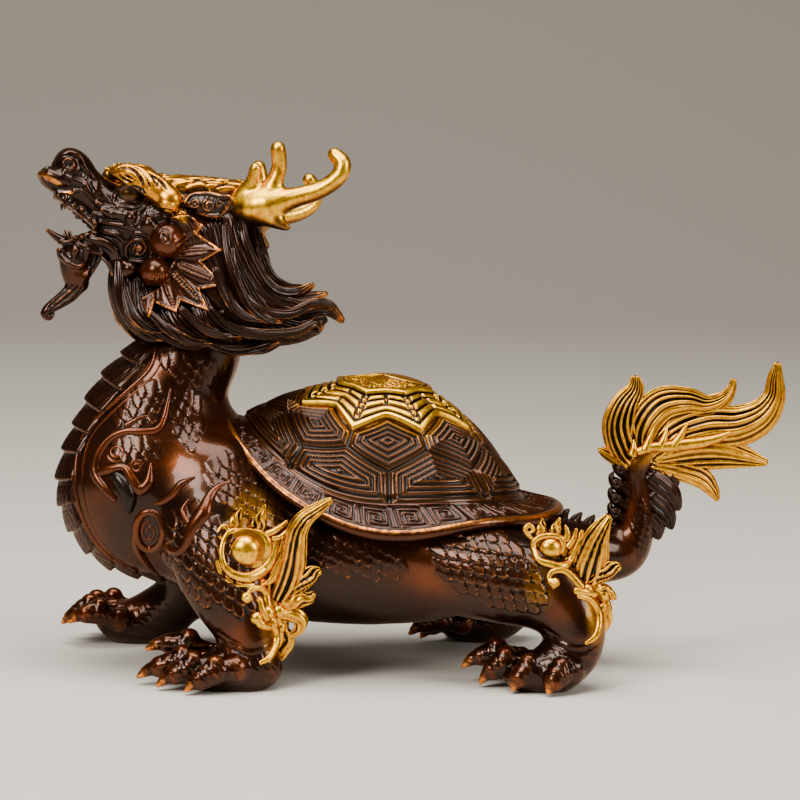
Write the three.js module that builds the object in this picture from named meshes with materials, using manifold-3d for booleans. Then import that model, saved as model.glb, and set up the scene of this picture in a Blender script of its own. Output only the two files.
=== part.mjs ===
// Dragon turtle table figure: one metal casting, 220 mm from beard to tail flame, modelled solid.
// Millimetres, +Z up, head towards -X, tail towards +X. The side that the photograph shows is -Y.
import * as THREE from "three";
import { mergeVertices } from "three/addons/utils/BufferGeometryUtils.js";
import Module from "manifold-3d";

const wasm = await Module();
wasm.setup();

// Driving dimensions. Every station further down is drawn for a figure of this length.
const DRAWN_LENGTH = 220;
const FIGURE_LENGTH = 220; // beard to tail flame, as cast
const TRUNK_HALF_WIDTH = 34; // widest half breadth of the trunk, under the carapace
const CHEST_RADIUS = 25.5; // the round breast below the neck
const SHELL_HALF_LENGTH = 50; // carapace rim, centre to front or back edge
const SHELL_HALF_WIDTH = 39; // carapace rim, centre to side edge
const SHELL_TOP = 84.2; // height of the dome's crown
const SCUTE_RELIEF = 1.1; // how far each scute stands above the grooves
const RIM_BEAD = 1.6; // rounded edge of the carapace
const EMBLEM_RELIEF = 1.4; // the eight-sided emblem above the scutes
const ANTLER_BULB = 5.2; // radius of the antler just above the brow
const FAR_ANTLER_DROOP = 0.46; // fall per millimetre outward
const EYE_RADIUS = 3.3;
const CHEEK_RADIUS = 5.4; // the upper of the round cheek bosses
const LEG_WRIST_RADIUS = 8; // fore and hind legs above the foot
const FOOT_HALF_WIDTH = 11;
const CLAW_TIP_RADIUS = 0.7;
const TAIL_ROOT_RADIUS = 10;
const FLAME_HALF_THICKNESS = 3.4;
const LOCK_TIP = 0.7; // half size at the tip of every lock, tuft and tongue of flame
const HEAD_YAW = THREE.MathUtils.degToRad(9); // the head looks a little towards the viewer
const HEAD_ROLL = THREE.MathUtils.degToRad(-7); // and leans away
const HEAD_PIVOT = new THREE.Vector3(-62, 0, 112);
const FINEST_FACET = 0.4; // facets that stand out by less than this are joined
const NEAR = -1;
const FAR = 1;
const SIDES = [NEAR, FAR];

// Meshes into solids

function solidOf(geometry) {
  const bare = geometry.index ? geometry.toNonIndexed() : geometry.clone();
  const shape = new THREE.BufferGeometry();
  shape.setAttribute("position", bare.getAttribute("position"));
  const merged = mergeVertices(shape, 1e-3);
  const triVerts = new Uint32Array(merged.index.array);
  const vertProperties = new Float32Array(merged.attributes.position.array);
  const make = () => new wasm.Manifold(new wasm.Mesh({ numProp: 3, vertProperties, triVerts }));
  const made = make();
  if (made.volume() > 0) return made;
  for (let i = 0; i < triVerts.length; i += 3) {
    [triVerts[i + 1], triVerts[i + 2]] = [triVerts[i + 2], triVerts[i + 1]];
  }
  return make();
}

function geometryOf(solid) {
  const mesh = solid.getMesh();
  const geometry = new THREE.BufferGeometry();
  geometry.setAttribute("position", new THREE.BufferAttribute(mesh.vertProperties, 3));
  geometry.setIndex(new THREE.BufferAttribute(mesh.triVerts, 1));
  return geometry;
}

// A closed skin over rings of points that all have the same count, with a fan over each end.
function skin(rings) {
  const count = rings[0].length;
  const points = rings.flat();
  const first = points.length;
  for (const ring of [rings[0], rings.at(-1)]) {
    const middle = new THREE.Vector3();
    ring.forEach((p) => middle.addScaledVector(p, 1 / count));
    points.push(middle);
  }
  const index = [];
  for (let k = 0; k < count; k++) {
    const next = (k + 1) % count;
    for (let r = 0; r + 1 < rings.length; r++) {
      const [a, b] = [r * count + k, r * count + next];
      index.push(a, b, b + count, a, b + count, a + count);
    }
    const last = (rings.length - 1) * count;
    index.push(first, next, k, first + 1, last + k, last + next);
  }
  const geometry = new THREE.BufferGeometry().setFromPoints(points);
  geometry.setIndex(index);
  return geometry;
}

// A tapering limb, lock or horn. Stations are [x, y, z, half width, half thickness], thickness along `out`.
function limb(stations, { sides = 6, steps = 6, out = [0, 1, 0], turn = 0 } = {}) {
  const curve = new THREE.CatmullRomCurve3(
    stations.map(([x, y, z]) => new THREE.Vector3(x, y, z)),
    false,
    "catmullrom",
  );
  const outward = new THREE.Vector3(...out);
  const rings = [];
  for (let i = 0; i <= steps; i++) {
    const t = i / steps;
    const place = t * (stations.length - 1);
    const from = Math.min(Math.floor(place), stations.length - 2);
    const size = (n) => THREE.MathUtils.lerp(stations[from][n], stations[from + 1][n], place - from);
    const width = size(3);
    const depth = stations[0].length > 4 ? size(4) : width;
    const tangent = curve.getTangent(t);
    const thick = outward.clone().addScaledVector(tangent, -outward.dot(tangent)).normalize();
    const wide = new THREE.Vector3().crossVectors(thick, tangent);
    const centre = curve.getPoint(t);
    rings.push(
      Array.from({ length: sides }, (_, k) => {
        const angle = (2 * Math.PI * (k + turn)) / sides;
        return centre
          .clone()
          .addScaledVector(wide, width * Math.cos(angle))
          .addScaledVector(thick, depth * Math.sin(angle));
      }),
    );
  }
  return skin(rings);
}

function ball(centre, radii, columns = 9, rows = 6) {
  const size = Array.isArray(radii) ? radii : [radii, radii, radii];
  return new THREE.SphereGeometry(1, columns, rows)
    .rotateX(Math.PI / 2)
    .scale(...size)
    .translate(...centre);
}

// The same stations on the other side of the middle plane
const mirrored = (stations, side) => stations.map(([x, y, z, ...sizes]) => [x, side * y, z, ...sizes]);
const onSide = ([x, y, z], side) => [x, side * y, z];

// Trunk, neck and breast

function trunk() {
  const [widest, belly] = [TRUNK_HALF_WIDTH, 36];
  return limb(
    [
      [-72, 0, 47, 17, 20],
      [-52, 0, 40, 22, 0.85 * widest],
      [-26, 0, belly, 22.5, 0.97 * widest],
      [2, 0, belly, 22.5, widest],
      [24, 0, belly, 20, 0.88 * widest],
      [41, 0, 34, 11.5, 0.56 * widest],
      [53, 0, 34, 8, 9],
    ],
    { sides: 12, steps: 7 },
  );
}

function neck() {
  return limb(
    [
      [-60, 0, 110, 10, 10],
      [-64, 0, 95, 13.3, 12.5],
      [-70.5, 0, 84, 15.8, 14.5],
      [-76.5, 0, 71, 20, 18.5],
      [-78, 0, 56, 24, 22],
    ],
    { sides: 10, steps: 5 },
  );
}

// The mass between the shoulders that carries the neck into the carapace
const withers = () =>
  limb([[-76, 0, 60, 20, 20], [-63, 0, 58, 19, 22], [-48, 0, 49, 15, 26]], { sides: 8, steps: 2 });

const breast = () => ball([-77, 0, 53], [CHEST_RADIUS, 0.96 * CHEST_RADIUS, CHEST_RADIUS], 11, 6);

// The band of overlapping plates down the throat and breast, stepped at each plate's lower edge
function throatPlates() {
  const outline = new THREE.CatmullRomCurve3(
    [
      [-77, 97.5], [-92.5, 81.5], [-99.8, 71.2], [-104.6, 55], [-101.6, 41.5], [-89.5, 29.5], [-74, 23.5],
    ].map(([x, z]) => new THREE.Vector3(x, 0, z)),
    false,
    "catmullrom",
  );
  const [plates, sunk, proud, step, halfWidth] = [8, 5.5, 5.0, 1.5, 11.5];
  const stations = [];
  for (let i = 0; i < plates; i++) {
    for (const [share, height] of [[0.08, proud], [0.95, proud + step]]) {
      const t = (i + share) / plates;
      const at = outline.getPoint(t);
      const along = outline.getTangent(t);
      const inward = new THREE.Vector3(-along.z, 0, along.x);
      at.addScaledVector(inward, sunk);
      const wide = halfWidth * (0.78 + 0.22 * Math.sin(Math.PI * t));
      stations.push({ at, along, inward, height, wide });
    }
  }
  const corners = 6;
  const rings = stations.map(({ at, inward, height, wide }) =>
    Array.from({ length: corners }, (_, k) => {
      const angle = (2 * Math.PI * (k + 0.5)) / corners;
      return at
        .clone()
        .addScaledVector(inward, -height * Math.cos(angle))
        .add(new THREE.Vector3(0, wide * Math.sin(angle), 0));
    }),
  );
  return skin(rings);
}

// Carapace: a dome of hexagonal scutes, an eight-sided emblem on its crown, a band of frets around its edge

const SPOKES = 32;
const DOME = { x: -9, halfLength: 0.82 * SHELL_HALF_LENGTH, halfWidth: 0.846 * SHELL_HALF_WIDTH };

function rim(angle) {
  const ahead = Math.cos(angle);
  const lift = ahead < 0 ? 31 * Math.abs(ahead) ** 2.6 : 2 * Math.sin(Math.PI * ahead);
  return new THREE.Vector3(
    -6.5 + SHELL_HALF_LENGTH * ahead,
    SHELL_HALF_WIDTH * Math.sin(angle),
    44.7 + lift,
  );
}

function dome(share, angle, relief = 0) {
  const ahead = Math.cos(angle);
  const edge = ahead < 0 ? 53 + 20 * Math.abs(ahead) ** 2.4 : 53 - 2.5 * ahead ** 4;
  const drop = SHELL_TOP - edge;
  const [a, b] = [DOME.halfLength, DOME.halfWidth];
  const at = new THREE.Vector3(
    DOME.x + share * a * ahead,
    share * b * Math.sin(angle),
    SHELL_TOP - drop * share * share,
  );
  const up = new THREE.Vector3(
    ((2 * drop * share) / a) * ahead,
    ((2 * drop * share) / b) * Math.sin(angle),
    1,
  ).normalize();
  return at.addScaledVector(up, relief);
}

const spoke = (k) => (2 * Math.PI * k) / SPOKES;

// One scute or fret: its border in the groove, a raised inner border and a middle point
function plate(border, relief, inset, raise) {
  const middle = border.reduce((sum, p) => sum.addScaledVector(p, 1 / border.length), new THREE.Vector3());
  const inner = border.map((p) => raise(p.clone().lerp(middle, inset), relief));
  const top = raise(middle.clone(), relief);
  const faces = [];
  border.forEach((p, i) => {
    const j = (i + 1) % border.length;
    faces.push([p, border[j], inner[j]], [p, inner[j], inner[i]], [inner[i], inner[j], top]);
  });
  return faces;
}

function carapace() {
  const faces = [];
  const lift = (p, relief) => {
    const across = new THREE.Vector3(
      (p.x - DOME.x) / DOME.halfLength ** 2,
      p.y / DOME.halfWidth ** 2,
      1 / 34,
    );
    return p.addScaledVector(across.normalize(), relief);
  };
  // Two rows of eight scutes between zigzag borders, given as shares of the way from crown to edge
  const [crownMid, crownCorner, rowCorner, rowMid] = [0.5, 0.6, 0.72, 0.84];
  for (let k = 0; k < SPOKES; k += 4) {
    const [a, b, c, d, e] = [-2, -1, 0, 1, 2].map((n) => spoke(k + n));
    const upper = [
      [crownMid, c], [crownCorner, a], [rowCorner, a], [rowMid, c], [rowCorner, e], [crownCorner, e],
    ];
    faces.push(...plate(upper.map(([s, t]) => dome(s, t)), SCUTE_RELIEF, 0.2, lift));
    const turn = spoke(2);
    const lower = [
      [rowCorner, c], [rowMid, a], [1, a], [1, b], [1, c], [1, d], [1, e], [rowMid, e],
    ];
    faces.push(...plate(lower.map(([s, t]) => dome(s, t + turn)), SCUTE_RELIEF, 0.2, lift));
  }
  // Emblem: a step up from the scutes, two steps of bars and the round boss
  const rings = [
    [1, 0], [0.95, EMBLEM_RELIEF], [0.78, EMBLEM_RELIEF], [0.76, 0.7 * EMBLEM_RELIEF],
    [0.6, 0.7 * EMBLEM_RELIEF], [0.56, 1.5 * EMBLEM_RELIEF],
  ].map(([share, relief], ring, all) =>
    Array.from({ length: SPOKES / 2 }, (_, k) => {
      const zigzag = k % 2 ? crownCorner : crownMid;
      const round = crownMid;
      const blend = ring / (all.length - 1);
      return dome(share * THREE.MathUtils.lerp(zigzag, round, blend), spoke(2 * k), relief);
    }),
  );
  const crown = dome(0, 0, 1.5 * EMBLEM_RELIEF);
  rings.forEach((ring, r) =>
    ring.forEach((p, k) => {
      const q = ring[(k + 1) % ring.length];
      const inward = rings[r + 1];
      if (inward) {
        const far = inward[(k + 1) % ring.length];
        faces.push([p, q, far], [p, far, inward[k]]);
      } else faces.push([p, q, crown]);
    }),
  );
  // Fret band, bead and the hidden underside
  const inner = Array.from({ length: SPOKES }, (_, k) => dome(1, spoke(k)));
  const outer = inner.map((_, k) => rim(spoke(k)));
  const below = (scale, down) =>
    outer.map((p) => new THREE.Vector3(-6.5 + (p.x + 6.5) * scale, p.y * scale, p.z - down));
  const edge = [outer, below(1.02, RIM_BEAD), below(0.9, 2 * RIM_BEAD)];
  const heart = new THREE.Vector3(-6.5, 0, 44);
  for (let k = 0; k < SPOKES; k++) {
    const next = (k + 1) % SPOKES;
    faces.push(...plate([inner[k], outer[k], outer[next], inner[next]], 0.7, 0.24, lift));
    for (let r = 0; r + 1 < edge.length; r++) {
      const [a, b, c, d] = [edge[r][k], edge[r][next], edge[r + 1][next], edge[r + 1][k]];
      faces.push([a, c, b], [a, d, c]);
    }
    faces.push([edge.at(-1)[k], heart, edge.at(-1)[next]]);
  }
  return new THREE.BufferGeometry().setFromPoints(faces.flat());
}

// Head, modelled looking straight ahead and turned as one

function skull() {
  return [
    limb(
      [
        [-49, 0, 131, 7, 7], [-60, 0, 129, 12.5, 12], [-72, 0, 127.5, 14.5, 13.5],
        [-82, 0, 130.5, 11.5, 10.5], [-90, 0, 135.5, 7, 7.5], [-96.5, 0, 141, 6.6, 6],
        [-102, 0, 144.8, 6.2, 5.2],
        [-107, 0, 144.2, 3, 3.6], [-109, 0, 145.5, LOCK_TIP, 1],
      ],
      { sides: 8, steps: 9 },
    ),
    ball([-99.5, 0, 149.5], [3.6, 5.6, 3.6], 7, 4),
    limb([[-103, 0, 140, 2.2, 4.2], [-99, 0, 136.8, 2.4, 4.8], [-94, 0, 132, 2.2, 5]], { steps: 2 }),
  ];
}

function lowerJaw() {
  return [
    limb(
      [
        [-80, 0, 120, 7, 9], [-90, 0, 124, 4.4, 6.2], [-98, 0, 122.8, 3.9, 4.8],
        [-103, 0, 120.5, 3.9, 4], [-101.5, 0, 114.5, 4.1, 3.6], [-101.8, 0, 110.5, 2.8, 2.4],
        [-105, 0, 107.5, 2, 2], [-108.6, 0, 105, 1.6, 1.6], [-106.6, 0, 103.6, 1, 1],
      ],
      { sides: 6, steps: 10 },
    ),
    limb([[-101, 0, 125, 2, 2.4], [-104.8, 0, 126.6, 1.4, 1.6], [-107.8, 0, 128.9, LOCK_TIP, LOCK_TIP]], {
      sides: 5,
      steps: 3,
    }),
  ];
}

const FRILL_OUTLINE = [
  [-76, 136], [-64.5, 130], [-66.6, 127.5], [-59.5, 122.6], [-65.8, 119], [-59, 112.5], [-66.2, 111],
  [-63.9, 104.5], [-71.6, 107.5], [-73.1, 104.4], [-80, 107.4], [-81.6, 103], [-86, 113], [-80, 122],
];

function face(side) {
  const at = (x, y, z) => onSide([x, y, z], side);
  const frill = new THREE.ExtrudeGeometry(
    new THREE.Shape(FRILL_OUTLINE.map(([x, z]) => new THREE.Vector2(x, z))),
    { depth: 6, bevelEnabled: false },
  )
    .rotateX(Math.PI / 2)
    .translate(0, side > 0 ? 16.5 : -10.5, 0)
    .applyMatrix4(new THREE.Matrix4().makeShear(0.22 * side, 0, 0, 0, 0, 0))
    .translate(0, 0.22 * side * 74, 0);
  const browRidge = [
    [-88.5, 4.5, 145.2, 1.6, 1.6], [-84, 7.5, 144.4, 3, 2.6], [-78, 9.2, 140.8, 3.6, 3],
    [-72, 11.5, 137, 3.2, 2.6], [-67, 12, 137.5, 1, 1],
  ];
  const lip = [
    [-96, 5.4, 131, 1.3, 1.3], [-88, 8.3, 128.5, 2, 1.6], [-81, 10.5, 128.6, 2, 1.6],
    [-78.6, 11.4, 123, 1.8, 1.6], [-83, 10.8, 119.4, 1.5, 1.3],
  ];
  const ear = [
    [-70.5, 12, 137, 1.2, 1.2], [-65, 14.6, 136.2, 3.4, 1.6], [-59, 16.6, 136.4, 3, 1.5],
    [-54.5, 17.8, 139.4, LOCK_TIP, LOCK_TIP],
  ];
  return [
    ball(at(-85, 8, 139.2), EYE_RADIUS, 7, 4),
    ball(at(-73.9, 14.6, 125), [0.88 * CHEEK_RADIUS, 0.85 * CHEEK_RADIUS, 1.1 * CHEEK_RADIUS], 8, 5),
    ball(at(-77, 14, 116.8), [0.85 * CHEEK_RADIUS, 0.8 * CHEEK_RADIUS, 0.7 * CHEEK_RADIUS], 8, 5),
    limb(mirrored(browRidge, side), { sides: 5, steps: 4 }),
    limb(mirrored(lip, side), { sides: 4, steps: 5 }),
    limb(mirrored(ear, side), { sides: 5, steps: 3 }),
    frill,
  ];
}

// Flat-topped ridge from the brows to the antlers
const crest = () =>
  limb([[-82, 0, 143.5, 1.6, 4], [-74, 0, 140.5, 3.4, 8], [-62, 0, 140, 3.2, 9], [-50, 0, 138.5, 3.2, 8]], {
    sides: 6,
    steps: 4,
  });

const ANTLER_BEAM = [
  [-54, 6, 135.5, 4], [-47, 11, 135, ANTLER_BULB], [-39, 15, 137, 3.3], [-31, 18, 139.3, 2.7],
  [-25.6, 20, 143, 2.5], [-24.2, 20, 147, 2.2], [-26.6, 18, 150.4, 1.1],
];
const ANTLER_TINES = [
  [[-47, 11, 135.5, 3.8], [-43.8, 13, 140.5, 3], [-41.8, 14, 146, 2.5], [-42.6, 15, 153.2, 1.3]],
  [[-46, 12, 133, 3.4], [-42.6, 14.5, 130.4, 2], [-39.6, 16, 128.4, 0.9]],
  [[-52, 9, 138, 2.6], [-49, 12, 142, 1.8], [-48.4, 13.4, 144.6, 1]],
];

// The far antler spreads lower than the near one, as the figure was cast.
function antler(side) {
  const droop = side === FAR ? FAR_ANTLER_DROOP : 0;
  const hung = (stations) => stations.map(([x, y, z, size]) => [x, side * y, z - droop * (y - 6), size]);
  return [
    limb(hung(ANTLER_BEAM), { sides: 6, steps: 7, out: [0, 1, 0.2] }),
    ...ANTLER_TINES.map((tine) => limb(hung(tine), { sides: 5, steps: 2 })),
  ];
}

// Mane: locks that fall behind the frill and sweep back to curling tips
const MANE = [
  [
    [-52, 5, 134, 4, 3], [-49.5, 7, 121, 4.6, 3.4], [-46.5, 8.5, 113.4, 4, 3],
    [-41.5, 9, 109.6, 3.2, 2.6], [-35.5, 9, 109.2, 2.3, 2], [-30.6, 9, 112, LOCK_TIP, LOCK_TIP],
  ],
  [
    [-55, 9, 133, 4.4, 3], [-53, 11.5, 119.5, 5, 3.4], [-48.5, 12.8, 108, 4.8, 3.2],
    [-40, 13, 103.6, 4.3, 2.8], [-30.5, 12.5, 106.2, 3, 2.2], [-23, 12, 102.4, LOCK_TIP, LOCK_TIP],
  ],
  [
    [-59, 12, 128, 4.4, 3], [-57, 14, 116, 4.6, 3.2], [-52.5, 14.6, 104.5, 4.4, 3],
    [-44.5, 14, 98.8, 3.5, 2.6], [-36, 13, 100, 2.5, 2], [-29, 12, 98.4, LOCK_TIP, LOCK_TIP],
  ],
  [
    [-63, 13.6, 112, 4.2, 3], [-58, 14.6, 102, 4.4, 3], [-51.5, 13, 97, 3.8, 2.8],
    [-45, 11.6, 96, 2.6, 2.2], [-38.5, 10.6, 97.6, LOCK_TIP, LOCK_TIP],
  ],
  [
    [-71.5, 13.6, 107.5, 4, 3], [-66.5, 14.8, 100.6, 3.8, 2.8], [-60, 15, 97.8, 2.6, 2.2],
    [-53, 15, 97.4, LOCK_TIP, LOCK_TIP],
  ],
  [
    [-80, 11.4, 106, 3.8, 3], [-73, 12.8, 99.4, 3.6, 2.8], [-65.5, 13, 96, 2.5, 2.2],
    [-58.6, 13, 96, LOCK_TIP, LOCK_TIP],
  ],
  [
    [-84.5, 7.5, 114, 3.2, 3], [-82.5, 9.4, 106.5, 3.6, 3], [-78, 10, 101, 2.9, 2.4],
    [-73, 10, 97.8, LOCK_TIP, LOCK_TIP],
  ],
  [
    [-85, 3.5, 119, 3, 3], [-85, 5, 112, 3.4, 3], [-82.6, 6, 104.5, 3, 2.6],
    [-77, 7, 98.6, LOCK_TIP, LOCK_TIP],
  ],
];

function mane() {
  const core = limb(
    [
      [-60, 0, 131, 9, 11], [-60, 0, 118, 13, 13.5], [-57, 0, 107, 13, 13.5], [-46, 0, 101.5, 6.5, 12],
      [-36, 0, 101.5, 3.5, 9.5], [-28, 0, 102, 1.2, 6],
    ],
    { sides: 7, steps: 5 },
  );
  const throat = ball([-68, 0, 111.5], [14, 13, 12], 8, 5);
  const nape = [
    limb(
      [
        [-50, 0, 134, 4, 5], [-46.6, 0, 121, 4, 5], [-43, 0, 112.6, 3.4, 4.6], [-34, 0, 108, 2.6, 3.8],
        [-25.5, 0, 110.4, LOCK_TIP, 1],
      ],
      { sides: 4, steps: 5 },
    ),
  ];
  const locks = SIDES.flatMap((side) =>
    MANE.map((lock) => limb(mirrored(lock, side), { sides: 4, steps: lock.length - 1 })),
  );
  return [core, throat, ...nape, ...locks];
}

function head() {
  const sided = SIDES.flatMap((side) => [...face(side), ...antler(side)]);
  const parts = [...skull(), ...lowerJaw(), crest(), ...mane(), ...sided];
  const turn = new THREE.Matrix4()
    .makeTranslation(HEAD_PIVOT)
    .multiply(new THREE.Matrix4().makeRotationZ(HEAD_YAW))
    .multiply(new THREE.Matrix4().makeRotationX(HEAD_ROLL))
    .multiply(new THREE.Matrix4().makeTranslation(HEAD_PIVOT.clone().negate()));
  return parts.map((part) => part.applyMatrix4(turn));
}

// Legs: each a thigh or shoulder, a shin, a foot and four clawed toes

const LEGS = [
  {
    side: NEAR,
    bones: [
      [-60, 16, 54, 16, 12], [-57, 26, 39, 15, 12], [-54, 31, 27, 11.5, 10.5],
      [-50, 33.5, 18, 9, 9], [-48.6, 35, 11, LEG_WRIST_RADIUS, LEG_WRIST_RADIUS], [-49, 35.5, 5, 7, 7],
    ],
    foot: [
      [-44, 35.5, 6, 5, 7], [-52, 36, 6, 7.6, FOOT_HALF_WIDTH], [-61, 36, 5, 6.4, FOOT_HALF_WIDTH],
      [-66, 36, 4, 3.6, 8.5],
    ],
    toes: [
      [[-58, 28.5, 8, 3.4], [-66, 27, 11, 3], [-72, 26, 11.2, 2.6], [-78, 26, 9.6, CLAW_TIP_RADIUS]],
      [[-60, 33, 7, 3.8], [-68, 32, 7.2, 3.4], [-74.5, 31.5, 5.4, 2.8], [-80.6, 31, 2.4, CLAW_TIP_RADIUS]],
      [[-58, 38, 7, 3.8], [-65, 38.5, 6.8, 3.4], [-70, 39, 4.8, 2.8], [-75, 39.5, 1.6, CLAW_TIP_RADIUS]],
      [[-53, 42.5, 7, 3.8], [-59, 44, 6.4, 3.4], [-63, 45, 4.4, 2.8], [-67, 46, 1.4, CLAW_TIP_RADIUS]],
    ],
  },
  {
    side: FAR,
    bones: [
      [-60, 18, 50, 15, 11], [-59, 26, 37, 14.5, 12], [-60, 30, 24.5, 12, 10.5],
      [-67, 33, 14.4, 8.6, 8.6], [-77, 35, 9, 6.5, 7], [-85, 35.5, 6.5, 5, 7],
    ],
    foot: [
      [-70, 34, 6.4, 5, 6], [-78, 35.5, 5, 6.6, 9], [-86, 36, 5.6, 7, FOOT_HALF_WIDTH],
      [-92, 36, 8, 3.6, 9],
    ],
    toes: [
      [[-86, 28.5, 8, 3.2], [-92, 27.6, 10, 3], [-96, 27, 10, 2.6], [-101, 27, 7.6, CLAW_TIP_RADIUS]],
      [
        [-88, 33, 8.6, 3.6], [-95, 32.5, 10.4, 3.2], [-98.5, 32, 9.4, 2.6],
        [-103, 32, 6.4, CLAW_TIP_RADIUS],
      ],
      [
        [-87, 38, 8.6, 3.6], [-93, 38.5, 10.6, 3.2], [-97, 39, 9.6, 2.6],
        [-101.4, 39.5, 6.6, CLAW_TIP_RADIUS],
      ],
      [[-82, 42.5, 8, 3.4], [-88, 44, 10.2, 3], [-92, 45, 9.8, 2.5], [-96, 46, 7.2, CLAW_TIP_RADIUS]],
    ],
  },
  {
    side: NEAR,
    bones: [
      [-2, 22, 42, 8, 6], [10, 25.5, 37, 16, 12], [24, 29, 33, 15.5, 13],
      [37, 33, 28.5, 12.4, 10.5], [44.6, 36, 20, 9, 9],
      [44.6, 37.5, 12.6, LEG_WRIST_RADIUS, LEG_WRIST_RADIUS], [39, 38, 8, 6.5, 7],
    ],
    foot: [
      [47, 38, 9.6, 4, 6], [40, 38, 6.4, 8, FOOT_HALF_WIDTH], [32, 38, 5.2, 6.8, FOOT_HALF_WIDTH],
      [26, 37.5, 4.6, 4, 9],
    ],
    toes: [
      [[30, 30, 7.4, 3.4], [23, 29, 9, 3.2], [18.6, 28.6, 8, 2.6], [13.4, 28.4, 5, CLAW_TIP_RADIUS]],
      [[31, 35, 7, 3.8], [25, 35, 7.6, 3.4], [21.6, 35, 5.4, 2.8], [18, 35, 1.6, CLAW_TIP_RADIUS]],
      [[35, 40.5, 6.8, 3.8], [31, 42, 6.6, 3.4], [28.6, 43, 4.6, 2.8], [26.4, 44, 1.2, CLAW_TIP_RADIUS]],
      [[43, 43, 6.6, 3.8], [40, 45.4, 6.2, 3.4], [38, 47, 4.4, 2.8], [36.2, 48.6, 1.3, CLAW_TIP_RADIUS]],
    ],
  },
  {
    side: FAR,
    bones: [
      [-10, 22, 42, 8, 6], [2, 25.5, 37, 16, 12], [16, 29, 33, 15.5, 13],
      [28, 33, 28, 12, 10.5], [34, 36, 19, 8.5, 9],
      [33.5, 37.5, 12, LEG_WRIST_RADIUS, LEG_WRIST_RADIUS], [28, 38, 7.6, 6.5, 7],
    ],
    foot: [
      [36, 38, 9, 4, 6], [28, 38, 6, 7.6, FOOT_HALF_WIDTH], [20, 38, 5.2, 6.8, FOOT_HALF_WIDTH],
      [14, 37.5, 4.6, 4, 9],
    ],
    toes: [
      [[18, 30, 7, 3.4], [11, 29, 8, 3.2], [6.6, 28.6, 6.8, 2.6], [2, 28.4, 3.8, CLAW_TIP_RADIUS]],
      [[19, 35, 7, 3.8], [13, 35, 7.4, 3.4], [9.6, 35, 5.2, 2.8], [6, 35, 1.5, CLAW_TIP_RADIUS]],
      [[23, 40.5, 6.6, 3.8], [19, 42, 6.4, 3.4], [16.6, 43, 4.4, 2.8], [14.4, 44, 1.2, CLAW_TIP_RADIUS]],
      [[31, 43, 6.4, 3.8], [28, 45.4, 6, 3.4], [26, 47, 4.2, 2.8], [24.2, 48.6, 1.3, CLAW_TIP_RADIUS]],
    ],
  },
];

const leg = ({ side, bones, foot, toes }) => [
  limb(mirrored(bones, side), { sides: 7, steps: bones.length - 1 }),
  limb(mirrored(foot, side), { sides: 6, steps: 3, turn: 0.5 }),
  ...toes.map((toe) => limb(mirrored(toe, side), { sides: 4, steps: 3 })),
];

// Gilded tufts behind each shoulder, hip and shin: a coiled boss and tongues that sweep up and back.
// Places are measured from the boss, so that all four legs share them.
const TUFT_TONGUES = [
  [[4, 1, -12, 4.5, 3], [10, 2.4, 0, 5, 3.2], [15, 3, 9, 3.8, 2.8], [25.5, 3.6, 16.6, LOCK_TIP, LOCK_TIP]],
  [[6, 2, -14, 3.6, 3], [14, 3, -9, 3.6, 2.8], [21.4, 3.4, -3, LOCK_TIP, LOCK_TIP]],
  [[6, 2, -22, 4, 3], [14, 3, -18.6, 3.2, 2.6], [19.6, 3.4, -15.4, LOCK_TIP, LOCK_TIP]],
  [[2, 0, -26, 3.4, 3], [8, 1.4, -29, 3.4, 2.8], [12, 2, -23, 2.4, 2.4], [16, 2, -21, LOCK_TIP, LOCK_TIP]],
];
const TUFTS = [
  { side: NEAR, boss: [-50.3, 35.5, 39.6], scale: 1 },
  { side: FAR, boss: [-57, 35, 38.6], scale: 0.9 },
  { side: NEAR, boss: [37.2, 38, 40.4], scale: 0.74 },
  { side: FAR, boss: [27, 37.5, 33], scale: 0.66 },
];

function tuft({ side, boss, scale }) {
  const [x, y, z] = boss;
  const place = ([dx, dy, dz, ...sizes]) => [
    x + dx * scale, y + dy * scale, z + dz * scale, ...sizes.map((s) => Math.max(LOCK_TIP, s * scale)),
  ];
  const coil = new THREE.TorusGeometry(7.2 * scale, 1.7 * scale, 3, 8)
    .rotateX(Math.PI / 2)
    .translate(...onSide([x, y - 0.6, z], side));
  return [
    ball(onSide([x, y - 1, z], side), [4.6 * scale, 3.4 * scale, 4.6 * scale], 6, 4),
    coil,
    ...TUFT_TONGUES.map((tongue) =>
      limb(mirrored(tongue.map(place), side), { sides: 4, steps: tongue.length - 1 }),
    ),
  ];
}

// Tail: a scaled stem that turns up, a crest of curled spikes and a flame at its end

const TAIL_STEM = [
  [45, 0, 36.5, TAIL_ROOT_RADIUS], [56, 0, 33, 8.6], [63.4, 0, 33.6, 7.6], [66.8, 0, 41.5, 6.8],
  [67, 0, 50, 6], [67, 0, 58, 5.2], [70.5, 0, 64.4, 4.4], [78, 0, 67.6, 2],
];
const SPIKES = [
  [[41, 0, 43], [45, 0, 46.2]], [[48, 0, 42.4], [51.8, 0, 45]], [[54, 0, 41], [56.2, 0, 45.2]],
  [[60, 0, 44], [57, 0, 50.4]], [[61.4, 0, 51], [58.2, 0, 56.8]],
];
const FIN = [
  [[71, 0, 43, 4, 2], [75.5, 0, 43.5, 2.6, 1.6], [80.4, 0, 48.6, LOCK_TIP, LOCK_TIP]],
  [[71, 0, 50, 4, 2], [75.5, 0, 50, 2.6, 1.6], [79, 0, 54, LOCK_TIP, LOCK_TIP]],
];
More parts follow.
